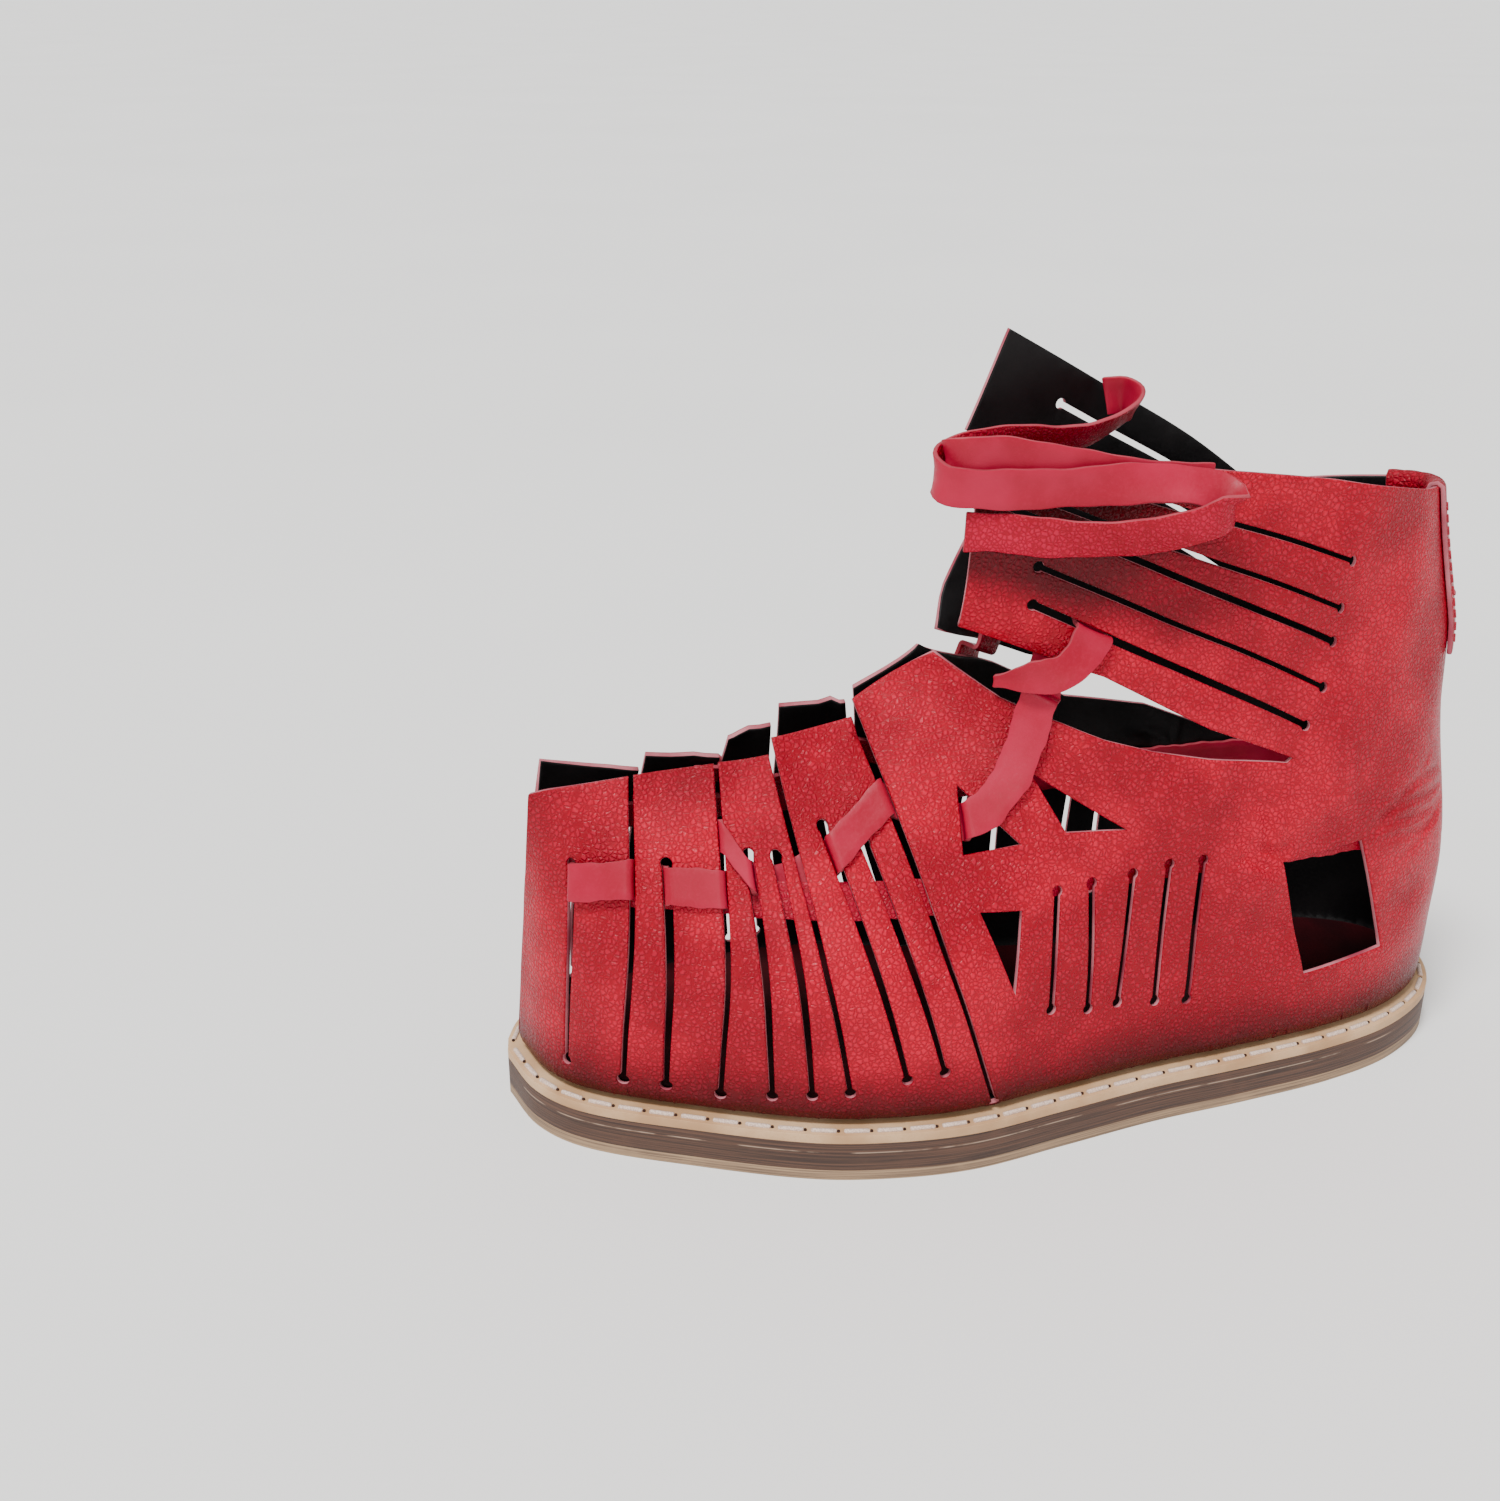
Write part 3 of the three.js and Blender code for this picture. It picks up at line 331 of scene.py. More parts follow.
def stackedLeather(name, high, low, line):
    material, surface, place = startMaterial(name, **{"Roughness": 0.62, "IOR": 1.48})
    laid = addNode(material, "ShaderNodeMapping", {"Scale": (22, 22, 1 / (soleLook["layer"] * mm))},
                   {"Vector": place})
    layers = cloudy(material, laid.outputs[0], 1.0, 5, 0.62)
    rubbed = cloudy(material, place, 90, 4)
    body = mixColours(material, low, high, ranged(material, layers, 0.32, 0.68))
    patch = mixColours(material, body, high, ranged(material, rubbed, 0.52, 0.75, 0.0, 0.45))
    height = addNode(material, "ShaderNodeSeparateXYZ", {}, {0: place})
    rise = addNode(material, "ShaderNodeMath",
                   {"operation": "MULTIPLY_ADD", 1: 1.0 / mm, 2: -soleLook["lineHeight"]},
                   {0: height.outputs["Z"]})
    away = addNode(material, "ShaderNodeMath", {"operation": "ABSOLUTE"}, {0: rise.outputs[0]})
    broken = ranged(material, rubbed, 0.4, 0.55)
    near = addNode(material, "ShaderNodeMath", {"operation": "MULTIPLY"},
                   {0: ranged(material, away.outputs[0], soleLook["lineDepth"], 0.0, 0.0, line), 1: broken})
    lined = mixColours(material, patch, soleLook["line"], near.outputs[0])
    connect(material, lined, surface.inputs["Base Color"])
    bump(material, surface, layers, 0.6, 0.0003)
    return material


# Undyed vegetable-tanned leather: warm cream with faint pores
def tanLeather(name, main, other, gloss=0.55):
    return fleshLeather(name, main, other, gloss, 0.6)


# Waxed linen thread: fine plies across the stitch
def linenThread(name, main, other):
    material, surface, place = startMaterial(name, **{"Roughness": 0.7, "Sheen Weight": 0.2})
    plies = cloudy(material, place, 2600, 2)
    connect(material, mixColours(material, main, other, ranged(material, plies, 0.4, 0.6)),
            surface.inputs["Base Color"])
    bump(material, surface, plies, 0.5, 0.0001)
    return material


redGrain = grainLeather("goat leather, dyed red", goatGrain)
blackSide = fleshLeather("goat leather, black buffed inner side", "#0B090A", "#151213", 0.45, shine=0.2)
pinkEdge = cutLeather("goat leather, raw cut edge", "#C07880", "#933848")
thongGrain = grainLeather("goat thong, grain side",
                          dict(goatGrain, pebble=1.1, high="#B2002E", paintedHighlight="#DA2450"), 0.36, 0.6)
thongFlesh = fleshLeather("goat thong, smooth flesh side", "#980426", "#AC1438", 0.4)
thongEdge = cutLeather("goat thong, cut edge", "#A8424E", "#8C2634")
stackLeather = stackedLeather("stacked sole leather, stained", soleLook["high"], soleLook["low"], 0.9)
bottomLeather = stackedLeather("sole leather, bottom layer", "#A88A6A", "#665040", 0.0)
weltLeather = tanLeather("welt leather, undyed", "#D0AB84", "#B48C66")
sockLeather = fleshLeather("insole leather, dark red", "#3A070E", "#26050A", 0.5, shine=0.2)
paleThread = linenThread("waxed linen thread, undyed", "#DCC4B4", "#BFA292")
redThread = linenThread("waxed thread, red", "#B32038", "#8D1228")
# painted shade of the welt's awl holes, put on small dark discs
awlHole = fleshLeather("awl hole, dark", "#2A1712", "#3A221A", 0.8)
print("materials made")


def finishPiece(bm, name, looks, replaced):
    mesh = bpy.data.meshes.new(name)
    for vertex in bm.verts:
        vertex.co *= mm
    bm.to_mesh(mesh)
    bm.free()
    mesh.shade_smooth()
    for look in looks:
        mesh.materials.append(look)
    piece = bpy.data.objects.new(name, mesh)
    bpy.context.scene.collection.objects.link(piece)
    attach(piece, "root")
    if replaced:
        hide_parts(*replaced)
    return piece


# a cut strip gets its wall and eased edges, with its materials in the order front, back and edge
def giveThickness(piece, thickness, round):
    wallMaker = piece.modifiers.new("thickness", "SOLIDIFY")
    wallMaker.thickness = thickness * mm
    wallMaker.offset = 0
    wallMaker.material_offset = 1
    wallMaker.material_offset_rim = 2
    rounder = piece.modifiers.new("edges", "BEVEL")
    rounder.width = round * mm
    rounder.segments = 2
    rounder.limit_method = "ANGLE"
    rounder.angle_limit = math.radians(50)


# Laces
laceFineness = dict(step=1.5, across=4, round=0.35, ease=2)
laceSway = [(0.035, 0.37, 0), (0.02, 0.91, 1)]  # how a hand-cut width varies: share, turn a step, start
bowRoute = [  # x, y, z, tilt towards the heel, tilt outwards
    [-20.4, 31, 187, 0, 0], [-17, 35, 188, 0, 25], [-10, 35, 187, 0, 45], [-3, 28, 185, 0, 48],
    [2, 17, 182.5, 0, 40], [6, 5, 182.5, 0, 28], [9.4, -7, 183.5, 0, 15], [12.2, -18, 183.5, 0, 5],
    [14.4, -26.5, 181.5, 0, 0], [18.5, -30, 179.5, 0, 0], [22.6, -28.4, 177.6, 0, 0],
    [23.8, -20, 176.4, -3, 0], [24.6, -8, 175.8, -2, 0], [26.2, 4, 176, 0, 0], [28, 14, 176.5, 0, -10],
    [30.2, 24, 176.8, 0, -25], [32.4, 32, 176.2, 5, -35], [34.6, 38.2, 174.6, 10, -30],
    [37, 40.2, 172, 15, -10], [38.2, 36.5, 169.5, 15, 5], [36.6, 29, 166.8, 8, 15], [33, 19, 164.4, 3, 20],
    [29, 8, 163.4, 0, 15], [25.8, -4, 163.8, 0, 5], [23.4, -14, 165, 0, 0], [22, -23, 165.4, 0, 0],
]
bandRoute = [
    [28.8, 39, 175.4, 0, -8], [27.4, 30, 175.8, 0, -6], [26, 20, 177.2, 0, -4], [24.4, 9, 179, 0, -3],
    [22.8, -2, 181.4, 0, -3], [21.6, -13, 183.4, 0, 0], [21.2, -23.4, 183.6, 0, 0], [18.4, -27.2, 183, 0, 5],
    [15.4, -24.4, 180.5, -5, 5], [15.2, -18, 176, -8, 5], [15.6, -12, 170, -10, 0],
]
mainRoute = [  # girth, rise, layer, tilt
    [-0.522, 0.53, 1, 0], [-0.459, 0.53, 1, 2], [-0.459, 0.53, -1, 2], [-0.397, 0.55, -1, 3],
    [-0.397, 0.55, 1, 3], [-0.366, 0.54, 1, 2], [-0.366, 0.54, -1, 2], [-0.313, 0.54, -1, 3],
    [-0.313, 0.54, 2, 3], [-0.262, 0.56, 2, -2], [-0.24, 0.58, 1, -10], [-0.206, 0.612, 1, -14],
    [-0.206, 0.612, -1, -14], [-0.147, 0.712, -1, -15], [-0.147, 0.712, 1, -15], [-0.1, 0.68, 1, -5],
    [-0.077, 0.667, 1, 0], [-0.077, 0.667, -1, 0], [-0.055, 0.69, -1, -30], [-0.03, 0.76, -1, -58],
]
mainEnds = dict(
    outer=[[-0.014, 0.85, -1, -70], [-0.002, 0.95, -1, -62], [-0.002, 0.95, 1, -62],
           [0.004, 1.06, 1.4, -68], [0.01, 1.2, 1.4, -75]],
    inner=[[-0.014, 0.85, -1, -75], [-0.008, 0.926, -1, -62], [-0.008, 0.926, 1.6, -62],
           [0.002, 1.04, 1.8, -68], [0.016, 1.18, 1.6, -75]],
)
ankleRoute = [
    [0.03, 1.4, 1, -75], [0.045, 1.218, 1, -65], [0.045, 1.218, -1, -65], [0.036, 1.12, -1.3, -68],
    [0.024, 1.05, -2.1, -60], [0.008, 1.005, -2.8, -40], [-0.014, 0.985, -2.8, -15],
    [-0.036, 0.965, -1.6, 5],
]
crossRoute = [
    [-0.338, 0.65, 1, 3], [-0.31, 0.644, 1, 3], [-0.31, 0.644, -1, 3],
    [-0.2855, 0.568, -1, -2], [-0.2855, 0.568, 1, -2], [-0.272, 0.56, 1, -2],
]
lag = dict(most=0.034, fullTo=-0.3, noneFrom=-0.1)  # how much further back the inner side's cuts stand


# where a cut or lace of the toe flap stands on one side
def lagged(girth, side):
    share = (lag["noneFrom"] - girth) / (lag["noneFrom"] - lag["fullTo"])
    return girth + lag["most"] * min(max(share, 0), 1) * (side == "inner")


def resample(rows, lengths, step):
    along = np.concatenate([[0], np.cumsum(lengths)])
    places = np.linspace(0, along[-1], max(2, int(round(along[-1] / step)) + 1))
    return np.stack([np.interp(places, along, rows[:, column]) for column in range(rows.shape[1])], axis=1)


def ease(rows, times):
    rows = rows.copy()
    for _ in range(times):
        rows[1:-1] = rows[1:-1] * 0.5 + (rows[:-2] + rows[2:]) * 0.25
    return rows


# stations on the wall as x, y, depth and tilt, with rounded turns through the slits
def wallRoute(route, side):
    rows = []
    for girth, rise, layer, tilt in route:
        outside = -shoe["laceClearance"] - shoe["laceThickness"] / 2
        stack = (layer + (1 if layer < 0 else -1)) * (shoe["laceThickness"] + shoe["fit"])
        angle = math.radians(tilt if side == "outer" else -tilt)
        place = lagged(girth, side)
        place = place if side == "outer" else 2 * heel - place
        depth = outside + stack if layer < 0 else shoe["leather"] - outside + stack
        rows.append([place * footLength, float(heightOf(rise)), depth, angle])
    return rows


def layOnWall(rows):
    rows = np.array(rows)
    lengths = np.linalg.norm(np.diff(rows[:, :3], axis=0), axis=1)
    rows = ease(resample(rows, lengths, laceFineness["step"] / 2), laceFineness["ease"])
    x, y, depth, angle = rows.T
    middle = onLeather(x, y, depth)
    ends = [onLeather(x + way * np.sin(angle), y + way * np.cos(angle), depth) for way in (-1, 1)]
    return middle, unit(ends[1] - ends[0])


def layFree(route):
    rows = np.array(route, float)
    lengths = np.linalg.norm(np.diff(rows[:, :3], axis=0), axis=1)
    along = np.concatenate([[0], np.cumsum(lengths)])
    places = np.linspace(0, along[-1], int(along[-1] / laceFineness["step"]) + 1)
    x, y, z, back, out = [follow(along, rows[:, column], places) for column in range(5)]
    middle = np.stack([x, y, z], axis=1)
    across = np.stack([np.tan(np.radians(out)), np.tan(np.radians(back)), np.ones_like(x)], axis=1)
    heading = unit(np.gradient(middle, axis=0))
    across = unit(across)
    across = unit(across - heading * (across * heading).sum(axis=1)[:, None])
    return middle, across


# a thong as a grid along its route, then given its thickness and rounded edges
def makeThong(name, middle, across, width, replaced, flip=False, cup=0.25, narrow=0.0):
    bm = bmesh.new()
    columns = laceFineness["across"]
    bmesh.ops.create_grid(bm, x_segments=len(middle) - 1, y_segments=columns, size=0.5)
    flatPlaces = np.array([vertex.co[:2] for vertex in bm.verts]) + 0.5
    index = np.rint(flatPlaces[:, 0] * (len(middle) - 1)).astype(int)
    share = flatPlaces[:, 1] * 2 - 1
    heading = unit(np.gradient(middle, axis=0))
    face = unit(np.cross(heading, across))
    sway = np.ones(len(index))
    for part, turn, start in laceSway:
        sway = sway + part * np.sin(index * turn + start)
    sway = sway * (1 - narrow * smoothstep(index / (len(middle) - 1), 0.72, 1.0))
    bend = cup * (1 - share ** 2) * (-1 if flip else 1)
    points = middle[index] + across[index] * (share * width / 2 * sway)[:, None] + face[index] * bend[:, None]
    for vertex, point in zip(bm.verts, points):
        vertex.co = point
    bmesh.ops.recalc_face_normals(bm, faces=bm.faces[:])
    first = bm.faces[:][0]
    first.normal_update()
    outer = Vector(face[index[first.verts[0].index]])
    if (first.normal.dot(outer) > 0) == flip:
        bmesh.ops.reverse_faces(bm, faces=bm.faces[:])
    piece = finishPiece(bm, name, [thongGrain, thongFlesh, thongEdge], replaced)
    giveThickness(piece, shoe["laceThickness"], laceFineness["round"])
    return piece


def declareCord(piece, middle):
    measured = float(np.linalg.norm(np.diff(middle, axis=0), axis=1).sum())
    print(piece.name, "measures", round(measured, 1), "mm")


bowMiddle, bowAcross = layFree(bowRoute)
bow = makeThong("lace_bow", bowMiddle, bowAcross, shoe["laceWidth"], ["bow_lace"], flip=True)
declareCord(bow, bowMiddle)
bandMiddle, bandAcross = layFree(bandRoute)
band = makeThong("lace_band", bandMiddle, bandAcross, shoe["laceWidth"], ["band_lace"])
declareCord(band, bandMiddle)

there = wallRoute(mainRoute + mainEnds["outer"], "outer")[::-1]
backAgain = wallRoute(mainRoute + mainEnds["inner"], "inner")
mainMiddle, mainAcross = layOnWall(there + backAgain)
makeThong("lace_main", mainMiddle, mainAcross, shoe["laceWidth"], ["main_lace"], cup=0.1)
for side in ("outer", "inner"):
    middle, across = layOnWall(wallRoute(crossRoute, side))
    makeThong("lace_cross_" + side, middle, across, shoe["crossLaceWidth"], ["cross_lace_" + side],
              flip=side == "outer", cup=0.1)
ankleMiddle, ankleAcross = layOnWall(wallRoute(ankleRoute, "outer"))
makeThong("lace_ankle", ankleMiddle, ankleAcross, shoe["laceWidth"], ["ankle_lace"], cup=0.4, narrow=0.7)
print("laces laid")

# Upper: cuts of the toe flap and the quarter, as girths and rises
toeNotches = [  # foot, middle, then the mouth's girth
    [-0.408, 0.065, -0.4, 0.4, -0.392],
    [-0.325, 0.06, -0.316, 0.4, -0.307],
    [-0.208, 0.09, -0.227, 0.37, -0.251],
    [-0.063, 0.02, -0.11, 0.38, -0.165],
]
mouthRises = dict(  # before and after each mouth
    outer=[(0.763, 0.765), (0.784, 0.786), (0.8, 0.834), (0.862, 0.9)],
    inner=[(0.67, 0.72), (0.69, 0.755), (0.79, 0.85), (0.85, 0.895)],
)
laceSlits = [
    [-0.465, 0.08, -0.462, 0.32, -0.458, 0.57],
    [-0.372, 0.065, -0.368, 0.32, -0.365, 0.585],
    [-0.279, 0.07, -0.283, 0.35, -0.286, 0.61],
    [-0.243, 0.08, -0.251, 0.36, -0.26, 0.61],
    [-0.154, 0.12, -0.182, 0.39, -0.211, 0.665],
    [-0.117, 0.13, -0.146, 0.38, -0.175, 0.63],
]
quarterSlits = [
    [-0.002, 0.226, 0.002, 0.36, 0.007, 0.504],
    [0.04, 0.204, 0.042, 0.36, 0.044, 0.51],
    [0.074, 0.202, 0.081, 0.36, 0.088, 0.517],
    [0.117, 0.184, 0.122, 0.36, 0.127, 0.528],
    [0.154, 0.17, 0.158, 0.35, 0.163, 0.528],
]
ankleSlits = dict(
    outer=[[0.314, 1.525, 0.143, 1.819, -0.024, 2.125], [0.305, 1.26, 0.096, 1.696, -0.031, 1.985],
           [0.288, 0.924, 0.139, 1.2, -0.01, 1.58], [0.269, 0.835, 0.128, 0.997, -0.014, 1.375]],
    inner=[[0.312, 1.46, 0.19, 1.84, 0.068, 2.22], [0.305, 1.26, 0.182, 1.64, 0.06, 2.02],
           [0.288, 0.924, 0.159, 1.16, 0.03, 1.5], [0.269, 0.835, 0.14, 0.981, 0.01, 1.3]],
)
frontCut = dict(outer=[(-0.080, 2.000), (0.207, 1.283), (0.298, 1.070)],
                inner=[(0.01, 1.99), (0.154, 1.53), (0.298, 1.07)])
windows = [
    [(-0.08, 0.737), (-0.084, 0.602), (-0.028, 0.617)],
    [(-0.014, 0.772), (0.018, 0.635), (0.081, 0.625)],
    [(-0.075, 0.487), (-0.042, 0.285), (-0.032, 0.476)],
    [(0.254, 0.495), (0.292, 0.185), (0.399, 0.208), (0.356, 0.519)],
]
throat = dict(
    outer=[(-0.086, 1.004), (-0.035, 0.927), (0.017, 0.882), (0.057, 0.842), (0.107, 0.805), (0.164, 0.776),
           (0.25, 0.747), (0.256, 0.758), (0.163, 0.848), (0.055, 0.989), (-0.081, 1.25), (-0.072, 1.93)],
    inner=[(-0.092, 1.004), (-0.035, 0.927), (0.017, 0.87), (0.057, 0.815), (0.107, 0.745), (0.201, 0.7),
           (0.282, 0.617), (0.288, 0.628), (0.163, 0.79), (0.055, 0.88), (-0.07, 1.05), (0.01, 1.86)],
)
collar = dict(
    outer=[(-0.09, 2.07), (-0.086, 2.25), (0.169, 2.048), (0.285, 1.975), (0.467, 1.825), (0.579, 1.771)],
    inner=[(-0.034, 2.12), (0.006, 2.66), (0.15, 2.2), (0.295, 1.723), (0.373, 1.69), (0.579, 1.771)],
)
toeCorner = dict(outer=(-0.546, 0.720), inner=(-0.480, 0.722))
laceAnkleSlit = 3  # the outer ankle slit that a lace passes
slitTaper = (0.55, 0.8, 1)  # width of a slit from its foot to its tip
ankleTaper = (0.7, 0.8, 0.9)
notchTaper = (0.55, 0.6, 0.55)  # the same for a cut, from its mouth
upperFineness = dict(grid=3.5, arc=12, edge=4.0)
edgeRound = [(0.45, 0.0), (0.14, 0.10), (0.0, 0.42), (0.0, 1.6), (0.12, 1.9), (0.42, 2.0)]  # inset and depth


def flat(place):
    return np.array([place[0] * footLength, float(heightOf(place[1]))])


def slitSides(path, width, taper=(1, 1, 1)):
    path = [flat(place) for place in path]
    half = [width * share / 2 for share in taper]
    last = len(path) - 1

    def heading(index):
        step = path[min(index + 1, last)] - path[max(index - 1, 0)]
        return step / np.linalg.norm(step)

    def beside(index, sign):
        ahead = heading(index)
        return path[index] + np.array([-ahead[1], ahead[0]]) * half[index] * sign

    def roundEnd(index, towards):
        ahead = heading(index) * towards
        mouth = math.asin(half[index] / shoe["punch"])
        start = math.atan2(ahead[1], ahead[0]) - math.pi + mouth
        steps = upperFineness["arc"]
        turns = [start + 2 * (math.pi - mouth) * i / steps for i in range(steps + 1)]
        return [path[index] + shoe["punch"] * np.array([math.cos(a), math.sin(a)]) for a in turns]

    middle = range(1, last)
    right = [beside(index, -1) for index in middle]
    left = [beside(index, 1) for index in middle][::-1]
    return roundEnd(0, -1), right, roundEnd(last, 1), left, [beside(0, -1), beside(0, 1)]


def closedSlit(row, width, side="outer", taper=(1, 1, 1)):
    places = [(lagged(row[0], side), row[1]), (lagged(row[2], side), row[3]), (lagged(row[4], side), row[5])]
    start, right, end, left, _ = slitSides(places, width, taper)
    return start + right + end + left


def marginAt(x):
    fromToe = min(x / footLength - toe, otherToe - x / footLength)
    return shoe["lastingMargin"] * (0.2 + 0.8 * float(smoothstep(fromToe, 0, 0.1)))


def sideOutline(side):
    toeX = toe * footLength
    points = [np.array([toeX, wallFoot - turnLength - marginAt(toeX)])]
    points += [np.array([toeX, wallFoot - turnLength * (1 - step / 2)]) for step in range(3)]
    points.append(flat(toeCorner[side]))
    for (foot, footRise, mid, midRise, mouthGirth), (before, after) in zip(toeNotches, mouthRises[side]):
        path = [(lagged(mouthGirth, side), (before + after) / 2), (lagged(mid, side), midRise),
                (lagged(foot, side), footRise)]
        _, right, end, left, mouth = slitSides(path, shoe["laceSlit"], notchTaper)
        mouth[0][1] = heightOf(before)
        mouth[1][1] = heightOf(after)
        points += [mouth[0]] + right + end + left + [mouth[1]]
    points += [flat(place) for place in throat[side]]
    _, right, end, left, mouth = slitSides(frontCut[side], shoe["plainSlit"])
    points += [mouth[0]] + right + end + left + [mouth[1]]
    points += [flat(place) for place in collar[side]]
    return points


def turnedOver(ring):
    return [np.array([twiceHeel - point[0], point[1]]) for point in reversed(ring)]


def sideHoles(side):
    holes = [closedSlit(row, shoe["laceSlit"], side, slitTaper) for row in laceSlits]
    for index, row in enumerate(ankleSlits[side]):
        width = shoe["laceSlit"] if index == laceAnkleSlit else shoe["plainSlit"]
        holes.append(closedSlit(row, width, taper=ankleTaper))
    holes += [closedSlit(row, shoe["plainSlit"]) for row in quarterSlits]
    return holes + [[flat(place) for place in window] for window in windows]


def closeRing(points, longest, ahead):
    kept = [point for index, point in enumerate(points) if np.linalg.norm(point - points[index - 1]) > 0.05]
    ring = []
    for index, point in enumerate(kept):
        following = kept[(index + 1) % len(kept)]
        steps = max(1, math.ceil(np.linalg.norm(following - point) / longest))
        ring += [point + (following - point) * i / steps for i in range(steps)]
    ring = np.array(ring)
    area = (ring[:, 0] * np.roll(ring[:, 1], -1) - ring[:, 1] * np.roll(ring[:, 0], -1)).sum()
    return ring if (area > 0) == ahead else ring[::-1]


def insetWays(ring):
    ahead = unit(np.roll(ring, -1, axis=0) - ring)
    behind = np.roll(ahead, 1, axis=0)
    normals = np.stack([-ahead[:, 1], ahead[:, 0]], axis=1)
    earlier = np.stack([-behind[:, 1], behind[:, 0]], axis=1)
    both = normals + earlier
    return both / np.maximum(1 + (normals * earlier).sum(axis=1), 0.6)[:, None]


# creases of the worn leather: from and to as girth and rise, half width and depth in mm.
# A negative depth is a ridge.
creases = [
    [0.215, 0.56, 0.33, 0.535, 5, 0.6], [0.24, 0.61, 0.345, 0.6, 6, -0.7],
    [0.251, 0.5, 0.192, 0.61, 1.7, 0.9], [0.248, 0.49, 0.186, 0.56, 1.6, 0.85],
    [0.25, 0.505, 0.212, 0.655, 1.7, 0.9], [0.246, 0.475, 0.19, 0.515, 1.6, 0.7],
    [0.258, 0.515, 0.24, 0.67, 1.6, 0.45], [0.244, 0.455, 0.2, 0.47, 1.4, 0.35],
    [0.366, 0.575, 0.5, 0.64, 1.5, 0.8], [0.368, 0.55, 0.505, 0.6, 1.5, 0.9],
    [0.372, 0.52, 0.51, 0.565, 1.5, 0.9], [0.385, 0.492, 0.51, 0.53, 1.5, 0.8],
    [0.362, 0.605, 0.48, 0.68, 1.4, 0.35], [0.4, 0.465, 0.505, 0.495, 1.4, 0.35],
    [0.4, 0.3, 0.5, 0.36, 6, 0.7], [0.18, 0.33, 0.29, 0.3, 7, 0.8],
    [0.12, 0.12, 0.24, 0.105, 6, 0.9], [-0.03, 0.86, 0.04, 0.7, 7, 0.9],
    [0.06, 0.72, 0.19, 0.68, 8, -0.7], [-0.44, 0.2, -0.23, 0.215, 9, -0.7],
    [0.25, 1.3, 0.4, 1.18, 10, 0.9], [0.1, 1.3, 0.18, 1.18, 8, -0.7],
    [0.33, 0.9, 0.47, 0.96, 10, 0.8], [0.16, 1.9, 0.3, 1.7, 9, 0.6],
]
# where the sheet needs a finer grid for its small creases: girths, rises and step in mm
fineAreas = [[0.180, 0.262, 0.44, 0.69, 1.3], [0.355, 0.520, 0.44, 0.70, 1.3]]
fineShift = 0.37  # mm, so that the fine grid misses the points of the coarse one
creaseWander = dict(by=2.0, turns=5)  # how far a crease strays from its line, in mm, and how often
tabLifts = (0.8, 1.0, 1.6, 1.8)  # mm by which the corners of each toe tab lift


# depth of all creases at places of the pattern: weaker and a little shifted on the inner side
def creaseDepth(x, y):
    total = np.zeros_like(x)
    for less, flipSide in ((0.0, False), (0.35, True)):
        for number, (fromGirth, fromRise, toGirth, toRise, width, depth) in enumerate(creases):
            start = flat((fromGirth, fromRise))
            finish = flat((toGirth, toRise))
            if flipSide:
                lift = 4 * math.sin(number)
                start, finish = [np.array([twiceHeel - end[0], end[1] + lift]) for end in (start, finish)]
            way = finish - start
            long = np.linalg.norm(way)
            way = way / long
            along = ((x - start[0]) * way[0] + (y - start[1]) * way[1]) / long
            aside = (x - start[0]) * -way[1] + (y - start[1]) * way[0]
            aside = aside + creaseWander["by"] * np.sin(along * creaseWander["turns"] + number)
            ends = smoothstep(0.5 - np.abs(along - 0.5), -0.12, 0.2)
            total += depth * (1 - less) * np.exp(-(aside / width) ** 2) * ends
    return total


# girth from the toe to the heel, on either side
def girthAt(x):
    return np.minimum(x / footLength, 2 * heel - x / footLength)


# slow waves of a soft sheet, and tab corners that lift a little
def waveDepth(x, y):
    waves = 0.35 * np.sin(x * 0.075 + 0.6) * np.sin(y * 0.09 + x * 0.02)
    waves += 0.22 * np.sin(x * 0.16 - y * 0.11 + 2)
    girth = girthAt(x)
    edges = np.array([toe] + [row[4] for row in toeNotches])
    lifted = np.zeros_like(x)
    for first, last, lift in zip(edges[:-1], edges[1:], tabLifts):
        inside = smoothstep(girth, first, first + 0.02) * (1 - smoothstep(girth, last - 0.02, last))
        height = smoothstep(y, 85, 104)
        lifted -= lift * (1 - inside * 0.8) * height * (girth > first) * (girth < last)
    return waves * smoothstep(y, 24, 50) + lifted


# painted shade darkening the leather towards the sole at the lasted edge; darker leather on the front of the
# lower ankle flap and at the tops of the toe tabs
paintedShadeAndTone = dict(lasted=0.85, flap=0.8, tabs=0.22)


def shadeAt(x, y):
    girth = girthAt(x)
    rise = riseOf(y)
    # painted shade: darker towards the sole
    lasted = paintedShadeAndTone["lasted"] * (1 - smoothstep(y, 16, 36))
    front = smoothstep(-girth, -0.26, -0.02)
    band = rise + girth * 1.7
    flap = paintedShadeAndTone["flap"] * front * smoothstep(band, 1.25, 1.5) * (1 - smoothstep(band, 2.02, 2.1))
    flap = flap * (x < heel * footLength)
    tabs = paintedShadeAndTone["tabs"] * smoothstep(-girth, 0.20, 0.30) * smoothstep(y, 78, 104)
    return np.clip(lasted + flap + tabs, 0, 1)


